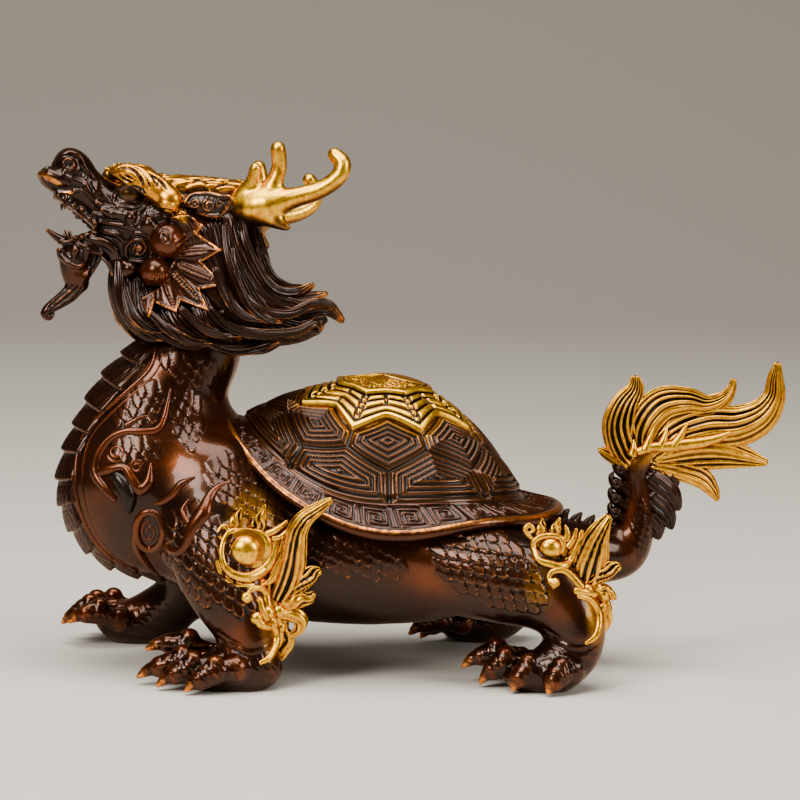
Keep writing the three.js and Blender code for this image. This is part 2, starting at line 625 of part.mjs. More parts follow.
const FLAME = [
  [[67, 0, 60, 4.4], [61.6, 0, 69, 6.4], [61, 0, 77, 5.2], [65.8, 0, 87.6, LOCK_TIP]],
  [[69.4, 0, 61, 5], [70, 0, 73, 7.6], [78.6, 0, 79.6, 6], [88.6, 0, 79.4, 4], [94.8, 0, 86.4, LOCK_TIP]],
  [[74, 0, 65, 5.4], [85, 0, 71.4, 8], [98, 0, 73.6, 7.4], [106.6, 0, 80, 4.6], [108.6, 0, 91.6, LOCK_TIP]],
  [[75, 0, 63, 4], [86, 0, 64.2, 5], [96, 0, 63.4, 3.4], [106.6, 0, 60.6, LOCK_TIP]],
  [[73, 0, 61.4, 3.2], [82.4, 0, 58, 3.4], [91.4, 0, 49.2, LOCK_TIP]],
  [[67, 0, 59.6, 2.8], [60.6, 0, 62, 2.6], [55.2, 0, 65.4, LOCK_TIP]],
];

function tail() {
  const spikes = SPIKES.map(([[x, y, z], [tipX, tipY, tipZ]]) =>
    limb([[x, y, z, 2.6, 1.8], [tipX, tipY, tipZ, LOCK_TIP, LOCK_TIP]], { sides: 4, steps: 1 }),
  );
  const fins = FIN.map((fin) => limb(fin, { sides: 5, steps: 3 }));
  const tongues = FLAME.map((tongue) =>
    limb(
      tongue.map(([x, y, z, width]) => {
        const thick = (FLAME_HALF_THICKNESS * Math.sqrt(width)) / 2.8;
        return [x, y, z, width, Math.max(LOCK_TIP, thick)];
      }),
      { sides: 4, steps: 2 * tongue.length - 2 },
    ),
  );
  return [limb(TAIL_STEM, { sides: 7, steps: 9 }), ...spikes, ...fins, ...tongues];
}

// One casting, set down with its feet on the floor and its box centred over the origin

const pieces = [
  trunk(), neck(), withers(), breast(), throatPlates(), carapace(),
  ...head(), ...LEGS.flatMap(leg), ...TUFTS.flatMap(tuft), ...tail(),
];
const floorCut = solidOf(new THREE.BoxGeometry(400, 200, 40).translate(0, 0, -20));
const whole = wasm.Manifold.union(pieces.map(solidOf)).subtract(floorCut);
const casting = whole
  .simplify(FINEST_FACET)
  .decompose()
  .reduce((most, body) => (body.volume() > most.volume() ? body : most));

const castScale = FIGURE_LENGTH / DRAWN_LENGTH;
const geometry = geometryOf(casting).scale(castScale, castScale, castScale);
geometry.computeBoundingBox();
const { min, max } = geometry.boundingBox;
geometry.translate(-(min.x + max.x) / 2, -(min.y + max.y) / 2, -min.z);

const bronze = new THREE.MeshStandardMaterial({ color: 0x3a1c10, metalness: 0.85, roughness: 0.32 });
const figure = new THREE.Mesh(geometry, bronze);
figure.name = "dragon_turtle";

const group = new THREE.Group();
group.add(figure);
export default group;
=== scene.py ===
# Dragon turtle table figure, 220 mm long: one hollow casting in lacquered brown bronze, with gilding on the
# antlers, brow, emblem, leg tufts and tail flame. Everything is shaped in millimetres, on the same stations
# as the CAD solid, and moved onto the frame, in metres, when a piece is cast.
import math

import bpy
import numpy as np
import openvdb
from mathutils import Matrix, Vector


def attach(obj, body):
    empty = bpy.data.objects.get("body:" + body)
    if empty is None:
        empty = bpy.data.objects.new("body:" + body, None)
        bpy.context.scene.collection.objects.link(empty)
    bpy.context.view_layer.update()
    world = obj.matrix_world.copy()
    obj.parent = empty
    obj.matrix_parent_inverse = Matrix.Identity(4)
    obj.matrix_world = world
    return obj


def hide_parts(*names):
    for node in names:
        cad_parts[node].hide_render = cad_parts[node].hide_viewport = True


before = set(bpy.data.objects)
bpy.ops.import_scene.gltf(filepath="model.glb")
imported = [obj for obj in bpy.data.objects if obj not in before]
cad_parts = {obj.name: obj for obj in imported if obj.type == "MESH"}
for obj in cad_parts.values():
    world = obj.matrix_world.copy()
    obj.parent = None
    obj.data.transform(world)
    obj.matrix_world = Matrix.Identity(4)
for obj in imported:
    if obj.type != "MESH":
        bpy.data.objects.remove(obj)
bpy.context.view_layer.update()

# Camera: a long lens at the height of the photograph, a few degrees above the table and a little round to the
# head's side, with the slight lean of the picture.
CAMERA_AIM = Vector((-0.0046, 0.0, 0.079))
CAMERA_AWAY = 1.2
PICTURE_WIDTH = 0.2353  # what the picture takes in at the figure, in metres
SENSOR_WIDTH = 36.0

azimuth, elevation, lean = (math.radians(a) for a in (-4.0, 7.5, 0.8))
backward = Vector((
    math.sin(azimuth) * math.cos(elevation), -math.cos(azimuth) * math.cos(elevation), math.sin(elevation)
))
level = Vector((math.cos(azimuth), math.sin(azimuth), 0))
upright = backward.cross(level)
rightward = math.cos(lean) * level + math.sin(lean) * upright
upward = math.cos(lean) * upright - math.sin(lean) * level

camera = bpy.data.objects.new("camera", bpy.data.cameras.new("camera"))
bpy.context.scene.collection.objects.link(camera)
bpy.context.scene.camera = camera
camera.data.sensor_width = SENSOR_WIDTH
camera.data.lens = SENSOR_WIDTH * CAMERA_AWAY / PICTURE_WIDTH
camera.data.clip_end = 20
camera.matrix_world = Matrix.Translation(CAMERA_AIM + CAMERA_AWAY * backward) @ Matrix(
    (rightward, upward, backward)
).transposed().to_4x4()

# Body: the trunk, arched neck, four walking legs and upturned tail stem, cast in one with everything else.
# The clay it was cast from was smooth on the big muscles, cut with scales in patches and wrinkled over the
# toes, and the lacquered patina is rubbed to copper on every edge.

NEAR, FAR = -1, 1  # the side that the photograph shows, and the other
DRAWING_SHIFT = np.array([-0.61, 0.0, 0.0])  # from the drawing's middle to the middle of the casting's box


def smooth_path(stations, steps):
    """Catmull-Rom through rows of numbers, so that places and sizes all change smoothly."""
    rows = np.asarray(stations, np.float64)
    rows = np.vstack([2 * rows[0] - rows[1], rows, 2 * rows[-1] - rows[-2]])
    place = np.linspace(0, len(rows) - 3, steps + 1)
    i = np.minimum(place.astype(int), len(rows) - 4)
    t = (place - i)[:, None]
    a, b, c, d = rows[i], rows[i + 1], rows[i + 2], rows[i + 3]
    path = 0.5 * (2 * b + (c - a) * t + (2 * a - 5 * b + 4 * c - d) * t**2 + (3 * b - a - 3 * c + d) * t**3)
    path[:, 3:] = np.maximum(path[:, 3:], rows[1:-1, 3:].min(0))
    return path


def smoothstep(low, high, value):
    t = np.clip((value - low) / (high - low), 0, 1)
    return t * t * (3 - 2 * t)


def even_out(values, rounds=1):
    """Takes the unevenness out of rows of values in place, and leaves the first and last row."""
    for _ in range(rounds):
        values[1:-1] = (values[:-2] + 2 * values[1:-1] + values[2:]) / 4


def spread(values, count):
    """A value for each of count places, changing evenly through the given ones."""
    values = np.atleast_1d(values)
    return np.interp(np.linspace(0, 1, count), np.linspace(0, 1, len(values)), values)


class Clay:
    """Clay on a cubic grid in mm. Each cell holds its distance from the surface, negative inside."""

    OUTSIDE = 6.0

    def __init__(self, low, high, cell):
        self.low, self.cell = np.array(low, np.float32), cell
        count = np.ceil((np.array(high) - self.low) / cell).astype(int) + 1
        self.field = np.full(count, self.OUTSIDE, np.float32)

    def window(self, low, high):
        """The slices of the grid between two corners, and the places of their cells."""
        first = np.clip(((low - self.low) / self.cell).astype(int), 0, np.array(self.field.shape) - 1)
        last = np.clip(((high - self.low) / self.cell).astype(int) + 2, first + 1, self.field.shape)
        places = [self.low[n] + self.cell * np.arange(first[n], last[n], dtype=np.float32) for n in range(3)]
        return first, last, np.ix_(*places)

    def limb(self, stations, blend=1.0, steps=None, out=(0, 1, 0), carve=False):
        """Presses on, or cuts away, a limb through stations (x, y, z, half width[, half depth along out])."""
        path = smooth_path(stations, steps or 3 * (len(stations) - 1)).astype(np.float32)
        out = np.array(out, np.float32) / np.linalg.norm(out)
        margin = blend + 1.5 + 2 * self.cell
        reach = path[:, 3:].max() + margin
        start, stop, _ = self.window(path[:, :3].min(0) - reach, path[:, :3].max(0) + reach)
        shape = np.full(stop - start, self.OUTSIDE, np.float32)
        for a, b in zip(path[:-1], path[1:]):
            reach = max(a[3:].max(), b[3:].max()) + margin
            first, last, (x, y, z) = self.window(
                np.minimum(a[:3], b[:3]) - reach, np.maximum(a[:3], b[:3]) + reach
            )
            along = b[:3] - a[:3]
            length2 = max(float(along @ along), 1e-9)
            x, y, z = x - a[0], y - a[1], z - a[2]
            t = np.clip((x * along[0] + y * along[1] + z * along[2]) / length2, 0, 1)
            x, y, z = x - t * along[0], y - t * along[1], z - t * along[2]
            square = x * x + y * y + z * z
            width = a[3] + t * (b[3] - a[3])
            if len(a) > 4:
                depth = a[4] + t * (b[4] - a[4])
                lift = (x * out[0] + y * out[1] + z * out[2]) ** 2
                flat = square - lift
                near = np.sqrt(flat / width**2 + lift / depth**2)
                slope = np.sqrt(flat / width**4 + lift / depth**4)
                away = near * (near - 1) / np.maximum(slope, 1e-6)
                away = np.where(near < 0.05, -np.minimum(width, depth), away)
            else:
                away = np.sqrt(square) - width
            part = tuple(slice(f - s, l - s) for f, l, s in zip(first, last, start))
            np.minimum(shape[part], away, out=shape[part])
        whole = tuple(slice(s, e) for s, e in zip(start, stop))
        old = self.field[whole]
        if carve:
            old = -old
        joint = np.maximum(blend - np.abs(old - shape), 0)
        made = np.minimum(old, shape) - joint * joint / (4 * blend)
        self.field[whole] = -made if carve else made

    def ball(self, centre, radii, blend=1.0, carve=False):
        radii = radii if isinstance(radii, (list, tuple)) else [radii] * 2
        spot = [*centre, *radii]
        self.limb([spot, [spot[0] + 0.01, *spot[1:]]], blend, steps=1, carve=carve)

    def soften(self, axes):
        """Evens out the joints between limbs, once along each of the axes."""
        for axis in axes:
            even_out(np.moveaxis(self.field, axis, 0))

    def finer(self):
        """The same clay on a grid of half the cell."""
        for axis in range(3):
            old = np.moveaxis(self.field, axis, 0)
            new = np.empty((2 * len(old) - 1, *old.shape[1:]), np.float32)
            new[::2] = old
            new[1::2] = (old[1:] + old[:-1]) / 2
            self.field = np.ascontiguousarray(np.moveaxis(new, 0, axis))
        self.cell /= 2

    def outermost(self, x, z, side):
        """How far out the surface stands at each (x, z), looked at from the near or the far side."""
        i, k = (np.asarray(x) - self.low[0]) / self.cell, (np.asarray(z) - self.low[2]) / self.cell
        i0, k0 = np.floor(i).astype(int), np.floor(k).astype(int)
        u, w = (i - i0)[:, None], (k - k0)[:, None]
        f = self.field
        column = ((f[i0, :, k0] * (1 - u) + f[i0 + 1, :, k0] * u) * (1 - w)
                  + (f[i0, :, k0 + 1] * (1 - u) + f[i0 + 1, :, k0 + 1] * u) * w)
        if side < 0:
            column = column[:, ::-1]
        inside = column < 0
        last = column.shape[1] - 1 - np.argmax(inside[:, ::-1], axis=1)
        last = np.clip(last, 1, column.shape[1] - 2)
        rows = np.arange(len(column))
        a, b = column[rows, last], column[rows, last + 1]
        place = last + np.clip(a / np.where(a - b == 0, 1, a - b), 0, 1)
        if side < 0:
            place = column.shape[1] - 1 - place
        depth = self.low[1] + self.cell * place
        found = inside.any(axis=1)
        if found.any():  # past the outline, the nearest place along the line that does stand
            depth = np.interp(np.arange(len(depth)), np.flatnonzero(found), depth[found])
        return depth

    def surface(self):
        grid = openvdb.FloatGrid(self.OUTSIDE)
        grid.copyFromArray(self.field, tolerance=0.0)
        points, quads = grid.convertToQuads(0.0)
        points = points.astype(np.float64) * self.cell + self.low
        quads = quads.astype(np.int64)
        a, b, c = points[quads[:, 0]], points[quads[:, 1]], points[quads[:, 2]]
        if np.einsum("ij,ij->", a, np.cross(b - a, c - a)) < 0:
            quads = quads[:, ::-1]
        return points, quads


def vertex_normals(points, faces):
    """Normals of a mesh given as one array of corners, three or four to a face."""
    a, b, c, d = (points[faces[:, n]] for n in (0, 1, 2, -1))
    across = np.cross(c - a, d - b)
    total = np.zeros_like(points)
    for n in range(faces.shape[1]):
        for axis in range(3):
            total[:, axis] += np.bincount(faces[:, n], across[:, axis], len(points))
    return total / np.maximum(np.linalg.norm(total, axis=1, keepdims=True), 1e-12)


def neighbour_mean(values, faces, count):
    """The mean of each vertex's neighbours along the faces' edges."""
    a = faces.ravel()
    b = np.roll(faces, -1, axis=1).ravel()
    degree = np.bincount(a, minlength=count) + np.bincount(b, minlength=count)
    values = np.asarray(values, np.float64).reshape(count, -1)
    total = np.stack([
        np.bincount(a, values[b, n], count) + np.bincount(b, values[a, n], count)
        for n in range(values.shape[1])
    ], 1)
    return total / np.maximum(degree, 1)[:, None]


def relax(points, faces, rounds):
    """Takes out the grid's steps and keeps the volume."""
    for share in (0.5, -0.52) * rounds:
        points = points + share * (neighbour_mean(points, faces, len(points)) - points)
    return points


def relief_of(points, faces, normals, rounds):
    """How far each vertex stands proud of its surroundings, in mm: edges above zero, hollows below."""
    mean = points
    for _ in range(rounds):
        mean = neighbour_mean(mean, faces, len(points))
    return np.einsum("ij,ij->i", points - mean, normals)


def scales(u, v, width, row, kept):
    """Height from 0 to 1 of roof-tile scales with pointed ends, rows across v, each over the root of the
    next. Only those whose middle (u, v) is kept are there, so that a patch ends in whole scales."""
    height = np.zeros_like(u)
    covered = np.zeros(u.shape, bool)
    first = np.floor(v / row).astype(int)
    for back in (1, 0):
        n = first - back
        down = (v / row - n) / 2  # 0 at the root, 1 at the tip
        off = (n % 2) * 0.5
        sideways = (u / width - off) - np.round(u / width - off)
        half = 0.5 * np.sqrt(1 - np.clip(2 * down - 1, 0, 1) ** 1.6)
        inside = (np.abs(sideways) < half) & ~covered
        inside &= kept((np.round(u / width - off) + off) * width, (n + 1.0) * row)
        edge = np.clip((half - np.abs(sideways)) * width, 0, 9)
        tall = (0.2 + 0.8 * down) * smoothstep(-0.05, 0.45, edge) * (1 - 0.25 * (np.abs(sideways) / 0.5) ** 2)
        height = np.where(inside, tall, height)
        covered |= inside
    return height


def in_oval(x, z, centre, radii, turn):
    """Whether (x, z) lies in an oval on the side of the figure, leaning by turn degrees."""
    c, s = math.cos(math.radians(turn)), math.sin(math.radians(turn))
    dx, dz = x - centre[0], z - centre[1]
    return np.hypot((dx * c + dz * s) / radii[0], (-dx * s + dz * c) / radii[1]) < 1


TRUNK = [
    [-72, 0, 47, 17, 20], [-52, 0, 40, 22, 28.9], [-26, 0, 36, 22.5, 33], [2, 0, 36, 22.5, 34],
    [22, 0, 34, 15, 28], [41, 0, 33, 9.4, 17], [53, 0, 34, 8, 9],
]
NECK = [
    [-60, 0, 110, 10, 10], [-64, 0, 95, 13.3, 12.5], [-70.5, 0, 84, 15.8, 14.5], [-76.5, 0, 71, 20, 18.5],
    [-78, 0, 56, 24, 22],
]
WITHERS = [[-76, 0, 60, 20, 20], [-63, 0, 58, 19, 22], [-48, 0, 49, 15, 26]]
TAIL_STEM = [
    [44, 0, 35, 8.8], [55, 0, 33, 8.4], [63.2, 0, 33.8, 7.0], [67, 0, 41.5, 5.4], [67.4, 0, 50, 4.3],
    [66.4, 0, 58, 4], [68.6, 0, 63.4, 3.8], [74, 0, 65.6, 2.6],
]
# Each leg: its bones from shoulder or thigh to wrist, its foot, and four toes from root to claw tip
LEGS = {
    "near_fore": (
        NEAR,
        [[-60, 16, 54, 16, 12], [-57, 26, 39, 15, 12], [-54, 31, 27, 11.5, 10.5], [-50, 33.5, 18, 9, 9],
         [-48.6, 35, 11, 8, 8], [-49, 35.5, 5, 7, 7]],
        [[-44, 35.5, 6, 5, 7], [-52, 36, 5.6, 6.6, 8.4], [-60, 36, 4.6, 5.2, 8], [-65, 36, 3.8, 3.2, 6.5]],
        [[[-58, 28.5, 8, 3.4], [-66, 27, 11, 3], [-72, 26, 11.2, 2.6], [-78, 26, 9.6, 0.7]],
         [[-60, 33, 7, 3.8], [-68, 32, 7.2, 3.4], [-74.5, 31.5, 5.4, 2.8], [-80.6, 31, 2.4, 0.7]],
         [[-58, 38, 7, 3.8], [-65, 38.5, 6.8, 3.4], [-70, 39, 4.8, 2.8], [-75, 39.5, 1.6, 0.7]],
         [[-53, 42.5, 7, 3.8], [-59, 44, 6.4, 3.4], [-63, 45, 4.4, 2.8], [-67, 46, 1.4, 0.7]]],
    ),
    "far_fore": (
        FAR,
        [[-60, 18, 50, 15, 11], [-59, 26, 37, 14.5, 12], [-60, 30, 24.5, 12, 10.5], [-67, 33, 14.4, 8.6, 8.6],
         [-77, 35, 9, 6.5, 7], [-85, 35.5, 6.5, 5, 7]],
        [[-70, 34, 6.4, 5, 6], [-78, 35.5, 5, 6, 8], [-86, 36, 5.6, 5.6, 8], [-91, 36, 7.4, 3.2, 6.5]],
        [[[-86, 28.5, 8, 3.2], [-92, 27.6, 10, 3], [-96, 27, 10, 2.6], [-101, 27, 7.6, 0.7]],
         [[-88, 33, 8.6, 3.6], [-95, 32.5, 10.4, 3.2], [-98.5, 32, 9.4, 2.6], [-103, 32, 6.4, 0.7]],
         [[-87, 38, 8.6, 3.6], [-93, 38.5, 10.6, 3.2], [-97, 39, 9.6, 2.6], [-101.4, 39.5, 6.6, 0.7]],
         [[-82, 42.5, 8, 3.4], [-88, 44, 10.2, 3], [-92, 45, 9.8, 2.5], [-96, 46, 7.2, 0.7]]],
    ),
    "near_hind": (
        NEAR,
        [[-2, 22, 40, 7, 6], [10, 25.5, 34.4, 13.4, 12], [24, 29, 32, 14, 13], [37, 33, 28.5, 12.4, 10.5],
         [44.6, 36, 20, 9, 9], [44.6, 37.5, 12.6, 8, 8], [39, 38, 8, 6.5, 7]],
        [[47, 38, 9.6, 4, 6], [40, 38, 6, 6.8, 8.4], [32, 38, 4.8, 5.4, 8], [27, 37.5, 4, 3.2, 6.5]],
        [[[30, 30, 7.4, 3.4], [23, 29, 9, 3.2], [18.6, 28.6, 8, 2.6], [13.4, 28.4, 5, 0.7]],
         [[31, 35, 7, 3.8], [25, 35, 7.6, 3.4], [21.6, 35, 5.4, 2.8], [18, 35, 1.6, 0.7]],
         [[35, 40.5, 6.8, 3.8], [31, 42, 6.6, 3.4], [28.6, 43, 4.6, 2.8], [26.4, 44, 1.2, 0.7]],
         [[43, 43, 6.6, 3.8], [40, 45.4, 6.2, 3.4], [38, 47, 4.4, 2.8], [36.2, 48.6, 1.3, 0.7]]],
    ),
    "far_hind": (
        FAR,
        [[-10, 22, 40, 7, 6], [2, 25.5, 34.4, 13.4, 12], [16, 29, 32, 14, 13], [28, 33, 28, 12, 10.5],
         [34, 36, 19, 8.5, 9], [33.5, 37.5, 12, 8, 8], [28, 38, 7.6, 6.5, 7]],
        [[36, 38, 9, 4, 6], [28, 38, 5.6, 6.6, 8.4], [20, 38, 4.8, 5.4, 8], [15, 37.5, 4, 3.2, 6.5]],
        [[[18, 30, 7, 3.4], [11, 29, 8, 3.2], [6.6, 28.6, 6.8, 2.6], [2, 28.4, 3.8, 0.7]],
         [[19, 35, 7, 3.8], [13, 35, 7.4, 3.4], [9.6, 35, 5.2, 2.8], [6, 35, 1.5, 0.7]],
         [[23, 40.5, 6.6, 3.8], [19, 42, 6.4, 3.4], [16.6, 43, 4.4, 2.8], [14.4, 44, 1.2, 0.7]],
         [[31, 43, 6.4, 3.8], [28, 45.4, 6, 3.4], [26, 47, 4.2, 2.8], [24.2, 48.6, 1.3, 0.7]]],
    ),
}
TOE_FULLNESS = 1.12
BODY_TRIANGLES = 240000


def on_side(stations, side):
    return [[x, side * y, *rest] for x, y, *rest in stations]


body = Clay([-108, -52, -3], [84, 52, 116], 1.0)
body.limb(TRUNK, 3, 24)
body.limb(NECK, 6, 18)
body.limb(WITHERS, 8, 8)
body.ball([-77, 0, 53], [25.5, 24.5], 5)
body.limb(TAIL_STEM, 4, 32)
for side, bones, foot, toes in LEGS.values():
    body.limb(on_side(bones, side), 5, 20)
    body.limb(on_side(foot, side), 3, 9)
body.soften((0, 1, 2) * 4)
body.finer()
for side, bones, foot, toes in LEGS.values():
    for root, knuckle, quick, tip in (on_side(toe, side) for toe in toes):
        middle = [(a + b) / 2 for a, b in zip(root, knuckle)]
        middle[3] *= 0.86  # the waist between two knuckles
        body.limb([[*place[:3], TOE_FULLNESS * place[3]] for place in (root, middle, knuckle, quick)],
                  1.0, 12)
        claw = [(a + b) / 2 for a, b in zip(quick, tip)]
        body.limb([[*quick[:3], 2.2], [claw[0], claw[1], claw[2] + 0.6, 1.9], [*tip[:3], 0.7]], 0.25, 8)
        body.ball([knuckle[0] + 0.2, knuckle[1], knuckle[2] + 1.9], [3, 2.8], 0.4)
        second = [(knuckle[0] + quick[0]) / 2 - 0.6, quick[1], (knuckle[2] + quick[2]) / 2 + 1.2]
        body.ball(second, [2.3, 2.3], 0.3)
    for (a, b, *_), (c, d, *_) in zip(toes, toes[1:]):  # clefts between the toes
        root, knuckle = ([(p + q) / 2 for p, q in zip(u, v)] for u, v in ((a, c), (b, d)))
        cleft = [[root[0] + 0.5, side * root[1], root[2] + 3.2, 0.5],
                 [knuckle[0], side * knuckle[1], knuckle[2] + 0.4, 1.0]]
        body.limb(cleft, 0.7, 10, carve=True)
    # Folds of skin that hang round the wrist or ankle
    ax, _, az = bones[-2][:3]
    for rise in (2.6, 0.5):
        fold = smooth_path([[ax - 9 - 0.2 * rise, az + 3.4 + rise, 0.3], [ax - 5, az + 0.8 + rise, 0.65],
                            [ax + 1, az - 0.6 + rise, 0.65], [ax + 6.5, az + 1.4 + rise, 0.3]], 24)
        depth = body.outermost(fold[:, 0], fold[:, 1], side) + 0.2 * side
        body.limb(np.stack([fold[:, 0], depth, fold[:, 1], 0.85 * fold[:, 2]], 1), 0.8, 24, carve=True)
above = body.low[2] + body.cell * np.arange(body.field.shape[2], dtype=np.float32)
np.maximum(body.field, -above, out=body.field)  # the soles are ground flat


def linear(hex_colour):
    """A hex sRGB colour as linear RGBA."""
    parts = [int(hex_colour[n:n + 2], 16) / 255 for n in (1, 3, 5)]
    return (*(c / 12.92 if c <= 0.04045 else ((c + 0.055) / 1.055) ** 2.4 for c in parts), 1.0)


def add_node(tree, kind, inputs, output=0, **settings):
    """Adds a node with its settings and links and gives an output. Inputs take values or outputs."""
    node = tree.nodes.new(kind)
    for name, value in settings.items():
        setattr(node, name, value)
    for socket, value in inputs.items():
        if isinstance(value, bpy.types.NodeSocket):
            tree.links.new(value, node.inputs[socket])
        else:
            node.inputs[socket].default_value = value
    return node.outputs[output] if node.outputs else None


MARKS = ("wear_and_highlight", "hollow", "glow", "gilt")


def lacquered_bronze():
    """Cast bronze, chemically browned, waxed and lacquered. It looks wet and nearly black in the hollows,
    from dark patina and from painted shade in grooves, under edges and on hidden sides. It glows red-brown on
    a big smooth form, partly where the lacquer is thin and partly as painted warm light where light falls on
    it, and shows copper where the edges were buffed. Gold paint is dusted over the parts marked gilt; its
    crests and tops carry a painted pale-gold highlight, and its grooves are dark with patina and painted
    shade."""
    # Colours: hollow and groove are dark patina with painted shade; glow is red-brown lacquer, and painted
    # warm light on lit forms; copper is the buffed edges; the pale gold is a painted highlight on gilded
    # crests and tops
    hollow, field, glow, copper = (linear(c) for c in ("#060302", "#1e0c04", "#783404", "#dc8230"))
    groove, gold, pale_gold_highlight = (linear(c) for c in ("#160b02", "#d88c06", "#ffc21a"))
    material = bpy.data.materials.new("lacquered_bronze")
    material.use_nodes = True
    tree = material.node_tree
    tree.nodes.clear()
    wear_and_highlight_mark, hollow_and_shade_mark, glow_mark, gilt_mark = (
        add_node(tree, "ShaderNodeAttribute", {}, "Fac", attribute_name=mark) for mark in MARKS
    )
    place = add_node(tree, "ShaderNodeTexCoord", {}, "Object")
    # Blotches of thinner lacquer about 9 mm across, brush dabs of 1.5 mm and casting grain of 0.3 mm, the
    # finest that a picture of the whole figure shows
    blotch, dab, grain = (
        add_node(tree, "ShaderNodeTexNoise", {"Vector": place, "Scale": 1 / size, "Detail": detail})
        for size, detail in ((0.009, 3.0), (0.0015, 4.0), (0.0003, 2.0))
    )

    # Buffed edges and painted highlights break up in dabs, gold was dusted on in dabs, and the lacquer ran in
    # blotches
    uneven = []
    for amount, noise, low, high, least, most in (
        (wear_and_highlight_mark, dab, 0.25, 0.75, 0.55, 1.25),
        (glow_mark, blotch, 0.3, 0.7, 0.45, 1.15),
        (gilt_mark, dab, 0.3, 0.7, 0.75, 1.2),
    ):
        factor = add_node(
            tree, "ShaderNodeMapRange",
            {"Value": noise, "From Min": low, "From Max": high, "To Min": least, "To Max": most},
            interpolation_type="SMOOTHSTEP",
        )
        uneven.append(add_node(tree, "ShaderNodeMath", {0: amount, 1: factor}, operation="MULTIPLY",
                               use_clamp=True))
    worn_and_highlit, glowing, gilded = uneven

    # How far each colour covers the one before it, and the roughness of lacquer that dried in hollows and
    # over grain
    copper_share, hollow_and_shade_share, gold_highlight_share, groove_share, bare_share, dried, grainy = (
        add_node(
            tree, "ShaderNodeMapRange",
            {"Value": amount, "From Min": low, "From Max": high, "To Min": least, "To Max": most},
            interpolation_type="SMOOTHSTEP",
        )
        for amount, low, high, least, most in (
            (worn_and_highlit, 0.25, 1.0, 0.0, 1.0), (hollow_and_shade_mark, 0.1, 0.8, 0.0, 1.0), (worn_and_highlit, 0.2, 1.0, 0.0, 1.0),
            (hollow_and_shade_mark, 0.05, 0.6, 0.0, 1.0), (worn_and_highlit, 0.3, 1.0, 0.0, 1.0),
            (hollow_and_shade_mark, 0.0, 0.8, 0.25, 0.5),
            (grain, 0.3, 0.7, -0.03, 0.05),
        )
    )
    brown, gilding = field, gold
    for share, coat in ((glowing, glow), (copper_share, copper), (hollow_and_shade_share, hollow)):
        brown = add_node(tree, "ShaderNodeMix", {0: share, 6: brown, 7: coat}, 2, data_type="RGBA")
    for share, coat in ((gold_highlight_share, pale_gold_highlight), (groove_share, groove)):
        gilding = add_node(tree, "ShaderNodeMix", {0: share, 6: gilding, 7: coat}, 2, data_type="RGBA")
    colour = add_node(tree, "ShaderNodeMix", {0: gilded, 6: brown, 7: gilding}, 2, data_type="RGBA")
    lacquer = add_node(tree, "ShaderNodeMath", {0: dried, 1: grainy}, operation="ADD")
    satin = add_node(tree, "ShaderNodeMath", {0: gilded, 1: 0.05, 2: lacquer}, operation="MULTIPLY_ADD")
    # The brown is a skin of oxide and tinted lacquer over the metal; gilding and buffed edges are bare metal
    bare = add_node(tree, "ShaderNodeMath", {0: gilded, 1: bare_share}, operation="MAXIMUM")
    metallic = add_node(
        tree, "ShaderNodeMapRange",
        {"Value": bare, "From Min": 0.0, "From Max": 0.7, "To Min": 0.7, "To Max": 1.0},
        interpolation_type="SMOOTHSTEP",
    )
    bump = add_node(tree, "ShaderNodeBump", {"Height": grain, "Distance": 0.00004, "Strength": 0.35})
    surface = add_node(tree, "ShaderNodeBsdfPrincipled", {
        "Base Color": colour, "Metallic": metallic, "Roughness": satin, "Normal": bump,
        "Coat Weight": 0.3, "Coat Roughness": 0.08, "Coat IOR": 1.5,
        "Specular Tint": linear("#ffcfa6"),  # bronze tints what it mirrors, also at grazing angles
    })
    add_node(tree, "ShaderNodeOutputMaterial", {"Surface": surface})
    return material


bronze = lacquered_bronze()
MM_PER_METRE = 1000


def marked_mesh(name, points, faces, marks):
    """A mesh of faces given as arrays of corners. A mark has a value for each point, or one for all."""
    corners = np.concatenate([f.ravel() for f in faces]).astype(np.int32)
    sizes = np.concatenate([np.full(len(f), f.shape[1]) for f in faces])
    mesh = bpy.data.meshes.new(name)
    mesh.vertices.add(len(points))
    mesh.vertices.foreach_set("co", points.astype(np.float32).ravel())
    mesh.loops.add(len(corners))
    mesh.polygons.add(len(sizes))
    mesh.polygons.foreach_set("loop_start", (np.cumsum(sizes) - sizes).astype(np.int32))
    mesh.loops.foreach_set("vertex_index", corners)
    mesh.update(calc_edges=True)
    for mark in MARKS:
        values = np.broadcast_to(np.asarray(marks.get(mark, 0.0), np.float32), len(points))
        mesh.attributes.new(mark, "FLOAT", "POINT").data.foreach_set("value", values.copy())
    return mesh


def thinned(points, faces, marks, count):
    """The same surface in about count triangles, few on smooth forms and many on edges."""
    mesh = marked_mesh("dense", points, [faces], marks)
    dense = bpy.data.objects.new("dense", mesh)
    bpy.context.scene.collection.objects.link(dense)
    thinner = dense.modifiers.new("thinner", "DECIMATE")
    thinner.ratio = count / (len(faces) * (faces.shape[1] - 2))
    thinner.use_collapse_triangulate = True
    thin = dense.evaluated_get(bpy.context.evaluated_depsgraph_get()).to_mesh()
    points, faces = np.empty(3 * len(thin.vertices)), np.empty(3 * len(thin.polygons), np.int32)
    thin.vertices.foreach_get("co", points)
    thin.polygons.foreach_get("vertices", faces)
    kept = {}
    for mark in MARKS:
        kept[mark] = np.empty(len(thin.vertices))
        thin.attributes[mark].data.foreach_get("value", kept[mark])
    bpy.data.objects.remove(dense)
    bpy.data.meshes.remove(mesh)
    return points.reshape(-1, 3), faces.reshape(-1, 3).astype(np.int64), kept


